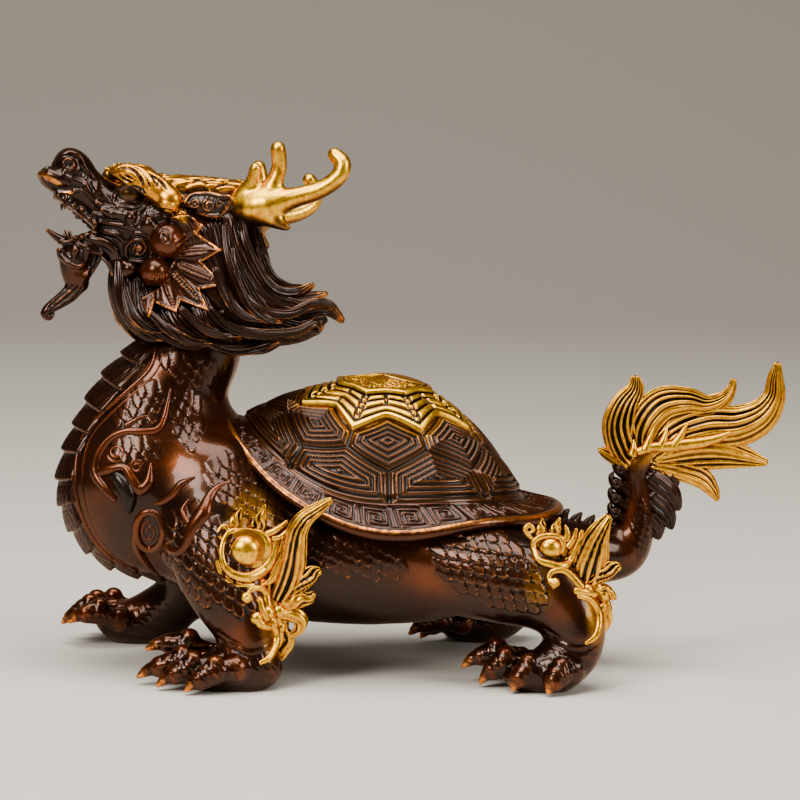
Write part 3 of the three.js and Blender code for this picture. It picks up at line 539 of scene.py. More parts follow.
def cast(name, points, faces, marks, normals=None):
    """Makes a piece: its mesh in metres on the frame, its marks of wear, painted highlight, painted shade,
    glow and gilding, its finish and its place in the part. Faces are one or more arrays of corners."""
    faces = faces if isinstance(faces, list) else [faces]
    limited = {mark: np.clip(values, 0, 1) for mark, values in marks.items()}
    mesh = marked_mesh(name, (points + DRAWING_SHIFT) / MM_PER_METRE, faces, limited)
    mesh.shade_smooth()
    if normals is not None:
        mesh.normals_split_custom_set_from_vertices(normals.tolist())
    mesh.materials.append(bronze)
    piece = bpy.data.objects.new(name, mesh)
    bpy.context.scene.collection.objects.link(piece)
    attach(piece, "root")
    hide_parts("dragon_turtle")


points, faces = body.surface()
points = relax(points, faces, 4)
normals = vertex_normals(points, faces)
x, y, z = points.T

# Patches of scales: what they lie on, then the centre, radii and lean of the patch, the width of a scale, the
# length of a row, the angle below the horizontal at which the tips point, and how proud they stand.
SCALE_PATCHES = [
    ("trunk", (-65.5, 89.6), (8.5, 4.8), -10, 3.3, 2.4, 80, 0.45),
    ("trunk", (-80, 79), (9, 4.6), 33, 3.3, 2.4, 80, 0.45),
    ("trunk", (-67.2, 76.6), (4.6, 9), 12, 3.3, 2.4, 80, 0.45),
    ("trunk", (-81, 67.6), (6.5, 2.9), 8, 3.3, 2.4, 80, 0.45),
    ("fore", (-60, 38), (17, 11), -42, 3.8, 2.9, 66, 1.0),
    ("fore", (-48, 55), (14, 6.5), -38, 3.5, 2.6, 62, 0.45),
    ("hind", (20, 35.5), (17, 9.4), -26, 3.6, 2.7, 40, 0.95),
    ("trunk", (-19, 38.5), (15, 5.6), -12, 3.3, 2.5, 60, 0.4),
    ("trunk", (68.6, 42), (3.6, 9), 0, 2.2, 1.7, 70, 0.3),
]
FAR_STRIDE = {"trunk": (0, 0), "fore": (-3, -2), "hind": (-8.5, -0.5)}  # how the far side differs, in x and z

height = np.zeros(len(points))
scaled = np.zeros(len(points))
for where, centre, radii, lean_of, width, row, aim, proud in SCALE_PATCHES:
    for side, (shift_x, shift_z) in ((NEAR, (0, 0)), (FAR, FAR_STRIDE[where])):
        sx, sz = x - shift_x, z - shift_z
        faced = smoothstep(0.1, 0.4, side * normals[:, 1]) * (side * y > 4)
        near_by = (np.hypot(sx - centre[0], sz - centre[1]) < max(radii) + 5) & (faced > 0)
        c, s = math.cos(math.radians(aim)), math.sin(math.radians(aim))
        u, v = sx[near_by] * s + sz[near_by] * c, sx[near_by] * c - sz[near_by] * s

        def kept(a, b):
            return in_oval(a * s + b * c, a * c - b * s, centre, radii, lean_of)

        tall = scales(u, v, width, row, kept)
        height[near_by] = np.maximum(height[near_by], tall * proud * faced[near_by])
        scaled[near_by] = np.maximum(scaled[near_by], smoothstep(0, 0.1, tall))

# Rings of wrinkles over the toes
TOE_RINGS, RING_DEPTH = 5, 0.16
for side, bones, foot, toes in LEGS.values():
    for toe in toes:
        root, quick = np.array(toe[0][:3]), np.array(toe[2][:3])
        at = np.stack([x, side * y, z], 1) - root
        axis = quick - root
        along = at @ axis / (axis @ axis)
        away = np.linalg.norm(at - along[:, None] * axis, axis=1)
        on = (along > -0.1) & (along < 0.95) & (away < 5.5) & (normals[:, 2] > -0.3)
        ring = 0.5 - 0.5 * np.cos(2 * np.pi * TOE_RINGS * along + 2.2 * np.sin(1.3 * away + root[1])
                                  + 0.8 * y)
        shown = smoothstep(5.5, 4.0, away[on]) * smoothstep(-0.1, 0.15, along[on])
        height[on] -= RING_DEPTH * (ring[on] ** 3) * shown

# Loose skin of the feet: irregular folds about 2.5 mm apart, between the toes and the wrist
FOLD_DEPTH = 0.13
loose = 0.4 * np.sin(0.9 * x + 0.5 * y) + 0.35 * np.sin(0.55 * z - 1.1 * x + 0.8 * y)
fold = 0.5 - 0.5 * np.cos(2 * np.pi * (0.3 * x + 0.34 * z + loose * 0.6))
on_foot = smoothstep(2.5, 5, z) * smoothstep(15, 11, z)
on_top = smoothstep(0.1, 0.5, np.abs(normals[:, 1]) + normals[:, 2])
height -= FOLD_DEPTH * fold**4 * on_foot * on_top
points = points + height[:, None] * normals

normals = vertex_normals(points, faces)
fine = relief_of(points, faces, normals, 2)
broad = relief_of(points, faces, normals, 12)
x, y, z = points.T
smooth_form = 1 - smoothstep(0.1, 0.5, scaled)
# Gold dust strays from the tufts onto the shoulder and the backs of the legs, and down the tail stem from its
# flame
gold_dust = 0.75 * smoothstep(58, 66, z) * smoothstep(58, 62, x)
for side, centre, radii, much in (
    (NEAR, (-42, 25), (4, 15), 0.42), (FAR, (-49, 23), (4, 14), 0.42), (NEAR, (51, 24), (3.6, 10), 0.5),
    (FAR, (41, 22), (3.6, 10), 0.5), (NEAR, (-48, 50), (7, 7), 0.28), (FAR, (-55, 48), (7, 7), 0.28),
    (NEAR, (34, 31), (5, 6), 0.22), (FAR, (25, 29), (5, 6), 0.22),
):
    near_tuft = 1 - smoothstep(0.4, 1.3, np.hypot((x - centre[0]) / radii[0], (z - centre[1]) / radii[1]))
    gold_dust = np.maximum(gold_dust, much * near_tuft * smoothstep(5, 15, side * y))
# Red-brown on the breast, the bare neck, the forearm, the front of the thigh, the knee and the tail stem:
# partly thinner lacquer, partly painted warm light where the light falls on these forms
thin_lacquer_and_painted_light = np.zeros(len(points))
for centre, radii, much in (
    ((-93, 55), (5, 16), 0.4), ((-70, 66), (9, 7), 0.5), ((-79, 33), (5, 6), 0.3), ((-53, 15), (5, 6), 0.6),
    ((4, 35), (9, 9), 0.6), ((40, 25), (5, 5), 0.4), ((66.4, 42), (4, 12), 0.6), ((-76, 88), (4, 5), 0.3),
    ((-55, 74), (5, 8), 0.3), ((-86, 12), (8, 5), 0.3),
):
    thin_lacquer_and_painted_light += much * np.exp(-((x - centre[0]) / radii[0]) ** 2 - ((z - centre[1]) / radii[1]) ** 2)
to_claw = np.min([np.linalg.norm(points - [tip[0], side * tip[1], tip[2]], axis=1)
                  for side, bones, foot, toes in LEGS.values() for *_, tip in toes], axis=0)
# Red-brown glow on the broad swellings is painted light on lit forms; hollow is dark patina with painted
# shade
marks = {
    "wear_and_highlight": smoothstep(0.02, 0.12, fine) * 0.5 + 0.5 * smoothstep(5, 1, to_claw),
    "hollow": smoothstep(0.02, 0.14, -fine),
    "glow": np.maximum(0.6 * smoothstep(0.05, 0.35, broad), thin_lacquer_and_painted_light) * smooth_form + 0.12 * scaled,
    "gilt": gold_dust,
}
points, faces, marks = thinned(points, faces, marks, BODY_TRIANGLES)
normals = vertex_normals(points, faces)
middle = points[:, 1][faces].mean(axis=1)
for name, part in (("body_near", faces[middle < 0]), ("body_far", faces[middle >= 0])):
    used, renumbered = np.unique(part, return_inverse=True)
    part_marks = {mark: values[used] for mark, values in marks.items()}
    cast(name, points[used], renumbered.reshape(part.shape), part_marks, normals[used])

# Carapace: a dome of two rows of eight hexagonal scutes, each cut with nested hexagons about 1.6 mm apart,
# then a rounded ridge, a band of 28 square frets and a smooth rolled edge rubbed to copper.
SHELL_TOP, SHELL_MIDDLE, RIM_MIDDLE = 84.2, -9.0, -6.5
DOME_LENGTH, DOME_WIDTH, RIM_LENGTH, RIM_WIDTH = 41.0, 33.0, 50.0, 39.0  # half sizes
FRETS, SCUTES = 28, 8
# The zigzag borders between scutes, as shares of the way down
CROWN_MID, CROWN_CORNER, ROW_CORNER, ROW_MID = 0.52, 0.645, 0.74, 0.85
ROUND_COUNT = 24 * FRETS
LINE_PITCH, LINE_WIDTH, LINE_HEIGHT, FRET_HEIGHT = 1.5, 0.68, 0.72, 0.6
CARAPACE_TRIANGLES = 100000


def dome_at(share, angle):
    ahead = np.cos(angle)
    edge = np.where(ahead < 0, 53 + 20 * np.abs(ahead) ** 2.4, 53 - 2.5 * ahead**4)
    return np.stack([
        SHELL_MIDDLE + share * DOME_LENGTH * ahead,
        share * DOME_WIDTH * np.sin(angle),
        SHELL_TOP - (SHELL_TOP - edge) * share**2,
    ], -1)


def rim_at(angle):
    ahead = np.cos(angle)
    lift = np.where(ahead < 0, 29.5 * np.abs(ahead) ** 2.6, 1.6 * smoothstep(0, 0.7, ahead))
    wave = 0.7 * np.cos(6 * angle) * (1 - ahead**4)
    return np.stack([
        RIM_MIDDLE + RIM_LENGTH * ahead, RIM_WIDTH * np.sin(angle), 46.6 + lift + wave,
    ], -1)


def ridge(distance, pitch, width):
    """Raised lines of a given width, one to each pitch, with rounded tops."""
    off = np.abs(distance / pitch - np.round(distance / pitch)) * pitch
    return 1 - smoothstep(0.25 * width, 0.75 * width, off)


def capped_faces(rows, count):
    """Quads between rows of points that go right round, and a fan of triangles round a point at each end."""
    at = np.arange(rows * count).reshape(rows, count)
    after = np.roll(at, -1, axis=1)
    quads = np.stack([at[:-1], at[1:], after[1:], after[:-1]], -1).reshape(-1, 4)
    first, last = (np.full(count, rows * count + n) for n in (0, 1))
    fans = np.concatenate([np.stack([first, at[0], after[0]], 1), np.stack([last, after[-1], at[-1]], 1)])
    return quads, fans


around = np.linspace(0, 2 * np.pi, ROUND_COUNT, endpoint=False)
shares = np.concatenate([np.linspace(0.02, 0.44, 6)[:-1], np.linspace(0.44, 1, 88)])
band = np.linspace(0, 1, 27)[1:]
rows = [dome_at(s, around) for s in shares]
inner, outer = dome_at(1.0, around), rim_at(around)
rows += [inner + (outer - inner) * p for p in band]
below = [(1.01, -0.3), (1.016, -0.8), (1.012, -1.4), (0.995, -1.9), (0.965, -2.2), (0.92, -2.4), (0.86, -2.6)]
for scale, drop in below:
    rows.append(np.stack([
        RIM_MIDDLE + (outer[:, 0] - RIM_MIDDLE) * scale, outer[:, 1] * scale, outer[:, 2] + drop,
    ], -1))
grid = np.stack(rows)
shell_points = grid.reshape(-1, 3)
shell_faces, shell_fans = capped_faces(len(grid), ROUND_COUNT)
shell_normals = vertex_normals(shell_points, shell_faces)

# Scutes: nested lines run parallel to the nearest border of the hexagon that a point lies in
share, angle = (a.ravel() for a in np.meshgrid(shares, around, indexing="ij"))
step = 2 * np.pi / SCUTES
across = np.hypot(DOME_LENGTH * np.cos(angle), DOME_WIDTH * np.sin(angle))
slope = np.hypot(across, 2 * (SHELL_TOP - 55) * share)
upper_turn = np.abs((angle / step + 0.5) % 1 - 0.5) * step  # from the middle of the upper scute
lean_in = upper_turn / (step / 2)
crown_line = CROWN_MID + (CROWN_CORNER - CROWN_MID) * lean_in
row_line = ROW_MID + (ROW_CORNER - ROW_MID) * lean_in
upper = share < row_line


def line_distance(s_line, s_run):
    """Millimetres from a zigzag border that climbs s_run over half a scute."""
    tangent = np.hypot(s_run * slope, (step / 2) * share * across)
    return (share - s_line) * slope * ((step / 2) * share * across) / tangent


to_crown = line_distance(crown_line, CROWN_CORNER - CROWN_MID)
to_row = line_distance(row_line, ROW_MID - ROW_CORNER)
to_side = (step / 2 - np.where(upper, upper_turn, step / 2 - upper_turn)) * share * across
to_edge = (1 - share) * slope
in_upper, in_lower = np.minimum(to_crown, -to_row), np.minimum(to_row, to_edge + 0.4)
inside = np.minimum(np.where(upper, in_upper, in_lower), to_side)
scute_lines = LINE_HEIGHT * ridge(inside - 0.2, LINE_PITCH, LINE_WIDTH) * smoothstep(0.3, 0.9, inside)
scute_height = 0.9 * smoothstep(0.15, 0.9, inside) + scute_lines + 0.25 * smoothstep(0, 6, inside)
scute_height -= 1.15 * smoothstep(0.955, 0.985, share)
dome_height = scute_height * smoothstep(0.42, 0.46, share)

# Frets: square spirals between double dividers
across_band, along = np.meshgrid(band, around, indexing="ij")
cell = (along / (2 * np.pi) * FRETS) % 1 - 0.5
width_of = np.linalg.norm(np.diff(rim_at(np.append(around, 2 * np.pi)), axis=0), axis=1) * ROUND_COUNT / FRETS
length_of = np.linalg.norm(outer - inner, axis=1)
u = cell * width_of
v = (across_band - 0.5) * length_of
reach_u, reach_v = width_of / 2 - 0.9, 0.38 * length_of
square = np.maximum(np.abs(u) / reach_u, np.abs(v) / reach_v)  # 1 on the edge of the spiral
turn = np.arctan2(v / reach_v, u / reach_u) / (2 * np.pi)
spiral = FRET_HEIGHT * ridge(square * 3.0 + turn, 1.0, 0.52)
divider = FRET_HEIGHT * ridge(np.abs(cell) * width_of - (width_of / 2 - 0.22), 50, 0.5)
fret_height = np.where(square < 1.04, spiral, divider * (np.abs(v) < 0.42 * length_of))
fret_height = fret_height * smoothstep(0.1, 0.16, across_band) * (1 - smoothstep(0.84, 0.88, across_band))
roll, lip = smoothstep(1.7, 0.2, across_band * length_of), 0.7 * smoothstep(0.86, 0.95, across_band)
band_height = (fret_height + roll + lip).ravel()
dome_height += 1.25 * smoothstep(1.9, 0.1, to_edge)
shell_height = np.concatenate([dome_height, band_height, np.full(len(below) * ROUND_COUNT, 0.6)])
shell_points = shell_points + shell_height[:, None] * shell_normals

shell_points = np.vstack([shell_points, [SHELL_MIDDLE, 0, SHELL_TOP], [RIM_MIDDLE, 0, 44]])
fine = relief_of(shell_points, shell_faces, vertex_normals(shell_points, shell_faces), 2)
gold_dust = np.zeros(len(shell_points))
gold_dust[:len(share)] = 0.4 * (1 - smoothstep(0.0, 4.0, np.where(upper, to_crown, 9))) + 0.05
edge_row = len(shares) + len(band) - 3
copper_edge = np.zeros(len(shell_points))
copper_edge[(edge_row + 1) * ROUND_COUNT:(edge_row + 4) * ROUND_COUNT] = 0.6
# Dark patina and painted shade in the grooves of the cut lines
shell_marks = {
    "wear_and_highlight": np.maximum(0.2 * smoothstep(0.12, 0.25, fine), copper_edge),
    "hollow": smoothstep(0.0, 0.09, -fine),
    "glow": 0.08 + 0.2 * smoothstep(0.0, 0.12, fine),
    "gilt": gold_dust,
}
shell_triangles = np.concatenate([shell_faces[:, :3], shell_faces[:, [0, 2, 3]], shell_fans])
cast("carapace", *thinned(shell_points, shell_triangles, shell_marks, CARAPACE_TRIANGLES))


# Emblem: the gilt plate on the crown, an eight-sided star with hollowed sides, three tiers of whole and
# broken bars on each side, knobbed seams between them, and a round boss that is half smooth and half
# stippled.
EMBLEM_ROUND, EMBLEM_ROWS, EMBLEM_TRIANGLES = 512, 74, 46000
BAR_HEIGHT, KNOB_HEIGHT = 0.75, 0.8
BOSS = 0.63  # its radius as a share of the plate's
SHELL_WIDE = 38  # the dome's mean half size
# The bars on each side from the inside out, 1 whole and 0 broken
TIERS = ["111", "110", "101", "100", "011", "010", "001", "000"]
turn_of = np.linspace(0, 2 * np.pi, EMBLEM_ROUND, endpoint=False)
out_share, turn = (a.ravel() for a in np.meshgrid(np.linspace(0.01, 1, EMBLEM_ROWS), turn_of, indexing="ij"))
side_turn = np.abs((turn / step + 0.5) % 1 - 0.5) * 2  # 0 in the middle of a side, 1 at a corner
star = CROWN_MID + (CROWN_CORNER - CROWN_MID) * side_turn**1.5
radius_share = out_share * ((1 - out_share**2) * 0.5 + out_share**2 * star)
emblem_points = dome_at(radius_share, turn)
inward = np.clip((out_share - BOSS) / (0.93 - BOSS), 0, 1) * 3
tier = np.clip(inward.astype(int), 0, 2)
number = (turn / step + 0.5).astype(int) % 8
whole = np.array([[int(bar) for bar in tiers] for tiers in TIERS])[number, tier]
in_tier = np.abs(inward - tier - 0.5)
off_seam = (1 - side_turn) * radius_share * SHELL_WIDE * step / 2
bar = (1 - smoothstep(0.26, 0.36, in_tier)) * smoothstep(0.8, 1.3, off_seam)
gap = 1 - (1 - whole) * (1 - smoothstep(0.3, 0.6, side_turn * radius_share * SHELL_WIDE * step / 2))
knobs = (1 - smoothstep(0.35, 0.8, off_seam)) * (0.5 + 0.5 * np.cos(2 * np.pi * inward * 1.5))
on_tiers = smoothstep(BOSS, BOSS + 0.02, out_share) * (1 - smoothstep(0.91, 0.935, out_share))
height = 1.0 + (BAR_HEIGHT * bar * gap + KNOB_HEIGHT * knobs) * on_tiers
height += BAR_HEIGHT * smoothstep(0.925, 0.945, out_share)
boss_x, boss_y = out_share / BOSS * np.cos(turn), out_share / BOSS * np.sin(turn)
boss_edge = 1.25 * smoothstep(BOSS + 0.015, BOSS - 0.02, out_share)
rim_line = 0.5 * (smoothstep(0.86, 0.9, out_share / BOSS) * (out_share < BOSS))
in_head, in_hollow = (np.hypot(boss_x - middle, boss_y) < 0.43 for middle in (0.43, -0.43))
smooth_half = (in_head | (boss_y > 0) & ~in_hollow).astype(float)
random = np.random.default_rng(8).random((EMBLEM_ROWS, EMBLEM_ROUND))
stipple = ((random + np.roll(random, 1, 1) + np.roll(random, -1, 1)) / 3).ravel()
within = out_share < 0.84 * BOSS
height += boss_edge + rim_line + within * (0.45 * smooth_half + (1 - smooth_half) * 0.5 * (stipple - 0.5))
fall = smoothstep(0.99, 1.0, out_share)
emblem_faces, _ = capped_faces(EMBLEM_ROWS, EMBLEM_ROUND)
emblem_points = emblem_points + (height - fall * 3.5)[:, None] * vertex_normals(emblem_points, emblem_faces)
edge = emblem_points[-EMBLEM_ROUND:] - [0, 0, 2.5]
ends = [[SHELL_MIDDLE, 0, SHELL_TOP + 2.4], [SHELL_MIDDLE, 0, SHELL_TOP - 9]]
emblem_points = np.vstack([emblem_points, edge, ends])
emblem_faces, emblem_fans = capped_faces(EMBLEM_ROWS + 1, EMBLEM_ROUND)
fine = relief_of(emblem_points, emblem_faces, vertex_normals(emblem_points, emblem_faces), 3)
emblem_triangles = np.concatenate([emblem_faces[:, :3], emblem_faces[:, [0, 2, 3]], emblem_fans])
# Pale gold on the raised work is a painted highlight; the recesses are dark with patina and painted shade
emblem_marks = {"wear_and_highlight": smoothstep(0.0, 0.08, fine), "hollow": smoothstep(0.0, 0.08, -fine), "gilt": 1.0}
cast("emblem", *thinned(emblem_points, emblem_triangles, emblem_marks, EMBLEM_TRIANGLES))

# Throat and breast: overlapping horn plates down the front, each drawn with fine lengthwise lines and stepped
# at its lower edge, a double bead beside them, and cloud scrolls, a kidney-shaped boss and a ring laid on the
# neck and shoulder as rolls of clay. Same casting; the rolls are rubbed to copper.
def frame_along(path, out):
    """Unit vectors at each point of a path: along it, towards out but square to it, and sideways."""
    along = np.gradient(path, axis=0)
    along /= np.maximum(np.linalg.norm(along, axis=1, keepdims=True), 1e-9)
    out = np.broadcast_to(np.asarray(out, float), path.shape)
    out = out - np.einsum("ij,ij->i", out, along)[:, None] * along
    out /= np.maximum(np.linalg.norm(out, axis=1, keepdims=True), 1e-9)
    return along, out, np.cross(along, out)


def closed(rings, tips, facing, tip_facing):
    """A roll made of rings of points and a tip at each end. Gives its points, its faces in fours and threes,
    how far each point is turned outward, from -1 to 1, and how far along it lies."""
    count, sides = rings.shape[:2]
    quads, fans = capped_faces(count, sides)
    points = np.concatenate([rings.reshape(-1, 3), tips])
    share = np.append(np.repeat(np.linspace(0, 1, count), sides), [0, 1])
    return points, quads[:, [0, 3, 2, 1]], fans[:, [0, 2, 1]], np.append(facing, [tip_facing] * 2), share


def tube(path, wide, deep, out, sides=8):
    """A closed roll along path, wide across and deep towards out."""
    path = np.asarray(path, float)
    along, out, across = frame_along(path, out)
    wide, deep = (np.broadcast_to(np.asarray(v, float), len(path))[:, None, None] for v in (wide, deep))
    angle = 2 * np.pi * (np.arange(sides) + 0.5) / sides
    c, s = np.cos(angle)[None, :, None], np.sin(angle)[None, :, None]
    rings = path[:, None] + wide * c * across[:, None] + deep * s * out[:, None]
    tips = path[[0, -1]] + 0.6 * np.array([[-1], [1]]) * wide[[0, -1], 0] * along[[0, -1]]
    return closed(rings, tips, np.tile(np.sin(angle), len(path)), 0.5)


def gather(made):
    """Joins rolls into one set of points, faces, facing and share."""
    points, quads, fans, facing, share = zip(*made)
    starts = np.cumsum([0, *(len(p) for p in points)])
    faces = [np.concatenate([part + start for part, start in zip(parts, starts)]) for parts in (quads, fans)]
    return np.concatenate(points), faces, np.concatenate(facing), np.concatenate(share)


def laid(path, radii, side, sunk, steps, flat=0.85, least=0.0, sides=12):
    """A roll laid on the side of the body through (x, z) points, its radius changing evenly through radii. It
    lies at least so far from the middle plane."""
    course = smooth_path([[x, z, 0] for x, z in path], steps)
    radius = spread(radii, len(course))
    depth = np.maximum(side * body.outermost(course[:, 0], course[:, 1], side), least)
    even_out(depth, 3)
    places = np.stack([course[:, 0], side * (depth - sunk * radius), course[:, 1]], 1)
    return tube(places, radius, radius * flat, (0, side, 0), sides)


THROAT = [
    [-76.6, 0, 98.5], [-82.6, 0, 89.6], [-90.4, 0, 82.2], [-97.4, 0, 75.2], [-102.2, 0, 67.4],
    [-104.5, 0, 57], [-103.4, 0, 47.6], [-98.6, 0, 39.4], [-91.6, 0, 32.6], [-83, 0, 27.6], [-74, 0, 23.5],
]
PLATES, PLATE_LINES, PLATE_STEP, PLATE_DEPTH = 12, 13, 1.6, 3.5
RAY_START, RAY_LENGTH = 13, 26


def reach(clay, start, direction, far):
    """How far clay reaches from start along direction, both (..., 3)."""
    t = np.arange(0, far, 0.5)
    cells = (start[..., None, :] + t[:, None] * direction[..., None, :] - clay.low) / clay.cell
    low = np.floor(cells).astype(int)
    low = np.clip(low, 0, np.array(clay.field.shape) - 2)
    part = np.clip(cells - low, 0, 1)
    value = 0.0
    for corner in np.ndindex(2, 2, 2):
        weight = np.prod(np.where(corner, part, 1 - part), axis=-1)
        i, j, k = (low[..., n] + corner[n] for n in range(3))
        value = value + weight * clay.field[i, j, k]
    last = len(t) - 1 - np.argmax(value[..., ::-1] < 0, axis=-1)
    last = np.minimum(last, len(t) - 2)
    a, b = (np.take_along_axis(value, (last + n)[..., None], -1)[..., 0] for n in (0, 1))
    return 0.5 * (last + np.clip(a / np.where(a == b, 1, a - b), 0, 1))


line = smooth_path(THROAT, PLATES * 22)
along = np.gradient(line, axis=0)
along /= np.linalg.norm(along, axis=1, keepdims=True)
outward = np.stack([along[:, 2], 0 * along[:, 1], -along[:, 0]], 1)
share = np.linspace(0, PLATES, len(line))
half_turn = np.radians(62) * (0.72 + 0.28 * np.sin(np.pi * np.clip(share / PLATES, 0, 1)))
across = np.linspace(-1, 1, PLATE_LINES * 5 + 1)
place = share[:, None] + 0.28 * (across**2)[None, :] - 0.25  # lower edges bow downward in the middle
within = place - np.floor(place)
step = PLATE_STEP * (0.1 + 0.9 * np.clip(within / 0.85, 0, 1) ** 0.8) * smoothstep(1.0, 0.93, within)
lines = 0.5 - 0.5 * np.cos(2 * np.pi * PLATE_LINES * (across[None, :] + 0.03 * np.sin(3 * place)))
drawn = smoothstep(0.02, 0.2, within) * smoothstep(0, 0.12, 1 - np.abs(across))
relief = step - 0.42 * (1 - lines) ** 2 * drawn - 1.2 * smoothstep(0.9, 1.0, np.abs(across))
# The band lies on the clay, found along rays from a line inside the neck
turn = half_turn[:, None] * across[None, :]
ray = np.cos(turn)[:, :, None] * outward[:, None] + np.sin(turn)[:, :, None] * np.array([0, 1, 0])
inner = (line - RAY_START * outward)[:, None] + 0 * ray
stand = reach(body, inner, ray, RAY_LENGTH)
even_out(stand, 6)
top = inner + (stand + relief - 0.1)[:, :, None] * ray
under = inner + (stand - PLATE_DEPTH)[:, :, None] * ray
rings = np.concatenate([top, under[:, ::-6]], axis=1)
points = np.concatenate([rings.reshape(-1, 3), [under[0].mean(axis=0), under[-1].mean(axis=0)]])
hidden = np.zeros((len(rings), rings.shape[1] - top.shape[1]))
# Lower plate edges rubbed to copper; painted shade with patina between the lines, under each overlap and
# below
wear_and_highlight = np.concatenate([smoothstep(0.8, 0.92, within) * lines * 0.6, hidden], 1)
hollow = np.concatenate([np.maximum((1 - lines) ** 2, smoothstep(0.16, 0.0, within)), hidden + 1], 1)
cast("throat_plates", points, list(capped_faces(*rings.shape[:2])), {
    "wear_and_highlight": np.append(wear_and_highlight, [0, 0]), "hollow": 0.8 * np.append(hollow, [1, 1]), "glow": 0.12})

RAIL = [(-75.2, 97.5), (-77.5, 89.5), (-84.7, 82.4), (-91.2, 76.4), (-96.0, 70.6), (-98.4, 63.7),
        (-98.7, 54.9), (-97.2, 47.6), (-94.3, 40.8), (-89.6, 35.0), (-82.3, 29.9)]
SCROLLS = [
    # The long scroll from the nape patch round under its curls, with its upper tongue
    ([(-71.6, 84.2), (-72.5, 79.7), (-73.6, 75.4), (-75.3, 72.8), (-78.9, 72.1), (-84, 72), (-88.3, 70.2),
      (-91.5, 66.5), (-93.1, 62.2), (-92.7, 58.8), (-89.6, 54.9), (-87.3, 52.7)],
     [0.3, 0.7, 0.9, 1.0, 1.0, 1.2, 1.4, 1.5, 1.2, 0.8]),
    ([(-84.6, 73.4), (-81.1, 75.3), (-77.6, 76.6)], [0.9, 0.8, 0.3]),
    ([(-92.6, 59.6), (-89, 61.2), (-84.8, 61.9), (-82.6, 58.9), (-80.4, 56), (-78, 58), (-77.2, 63.4)],
     [1.2, 1.4, 1.1, 1.5, 1.7, 1.5, 0.3]),
    # The short scroll above the shoulder
    ([(-64.6, 60), (-66.8, 58.9), (-68.8, 57.6), (-70.6, 55.1), (-73.8, 52.6), (-76.4, 51.9)],
     [0.3, 0.8, 1.1, 1.1, 0.9, 0.4]),
    # The flame-shaped scroll on the shoulder and its branch
    ([(-54.2, 59.2), (-58.4, 57.2), (-60.6, 54.4), (-62, 50.6), (-64.8, 46.6), (-66.7, 42.3), (-68.7, 39.4),
      (-71.2, 39.3), (-72.2, 41), (-70.7, 42.1)], [0.4, 0.9, 1.4, 2.3, 2.0, 1.4, 1.2, 1.1, 0.9, 0.5]),
    ([(-64.6, 46.4), (-66.8, 48), (-68.1, 50.8), (-66.4, 54)], [1.0, 1.0, 0.8, 0.3]),
    # From the ring down the front of the shoulder
    ([(-81.2, 44), (-81.4, 39.6), (-79.4, 35.2), (-77.2, 31.6), (-74.8, 28.6)], [0.9, 1.1, 1.1, 0.9, 0.5]),
]
KIDNEY = [(-88.6, 59.6), (-86.8, 59), (-84.6, 56.4), (-83.4, 53), (-83.5, 49.4)]


def curl(centre, radii, turns, first, squash=1.0, count=None):
    """Points (x, z) of a curl winding from one radius to the other, from an angle in degrees."""
    t = np.linspace(0, 1, count or int(12 * abs(turns)) + 2)
    angle = math.radians(first) + 2 * np.pi * turns * t
    radius = radii[0] + (radii[1] - radii[0]) * t
    return [(centre[0] + r * math.cos(a), centre[1] + squash * r * math.sin(a))
            for r, a in zip(radius, angle)]


made = []
for side in (NEAR, FAR):
    made.append(laid(RAIL, [0.7, 0.8, 0.8, 0.8, 0.6], side, 0.2, 140))
    made.append(laid([(x + 2.0, z - 0.4) for x, z in RAIL], [0.35, 0.45, 0.45, 0.4, 0.3], side, 0.2, 140))
    for path, radii in SCROLLS:
        made.append(laid(path, [1.2 * r for r in radii], side, 0.05, 7 * len(path)))
    points, quads, ends, facing, share = laid(KIDNEY, [1.2, 2.1, 2.6, 2.4, 1.2], side, 0.0, 30)
    made.append((points, quads, ends, 0 * facing + 0.2, share))
    made.append(laid(curl((-87.2, 65.8), (2.7, 0.7), 1.5, 200, 1.0, 18), [0.6, 0.6, 0.5], side, 0.2, 50))
    made.append(laid(curl((-81.4, 62.4), (2.0, 0.6), 1.4, 20, 1.0, 17), [0.5, 0.5, 0.4], side, 0.2, 50))
    made.append(laid(curl((-77.4, 43.7), (3.9, 3.9), 1.0, 90, 1.5, 13), [1.2, 1.3, 1.2], side, 0.1, 60))
    made.append(laid(curl((-77.5, 43.5), (2.4, 0.7), 1.3, 90, 1.4, 16), [0.5, 0.5, 0.4], side, 0.3, 50))
points, faces, facing, share = gather(made)
# Hollow on the sides of each roll is painted shade; on the kidney boss it makes the boss black all over
cast("cloud_scrolls", points, faces, {
    "wear_and_highlight": 0.22 * smoothstep(0.94, 1.0, facing),
    "hollow": 0.95 * smoothstep(0.8, 0.35, facing),
    "glow": 0.5,
})

# Head: a roaring dragon's, modelled looking straight ahead and turned as one to the viewer. Skull, jaws,
# cheeks and frill were built up in clay and every fold, lid and spiral laid on as a thin roll. The brow and
# crest are gilt.
HEAD_PIVOT = np.array([-62.0, 0.0, 112.0])
HEAD_TURN = np.array(
    Matrix.Rotation(math.radians(9), 3, "Z") @ Matrix.Rotation(math.radians(-7), 3, "X")
)
HEAD_CELL = 0.32
HEAD_TRIANGLES = 160000


def turned(points):
    """From the straight head to its place on the neck."""
    return HEAD_PIVOT + (points - HEAD_PIVOT) @ HEAD_TURN.T


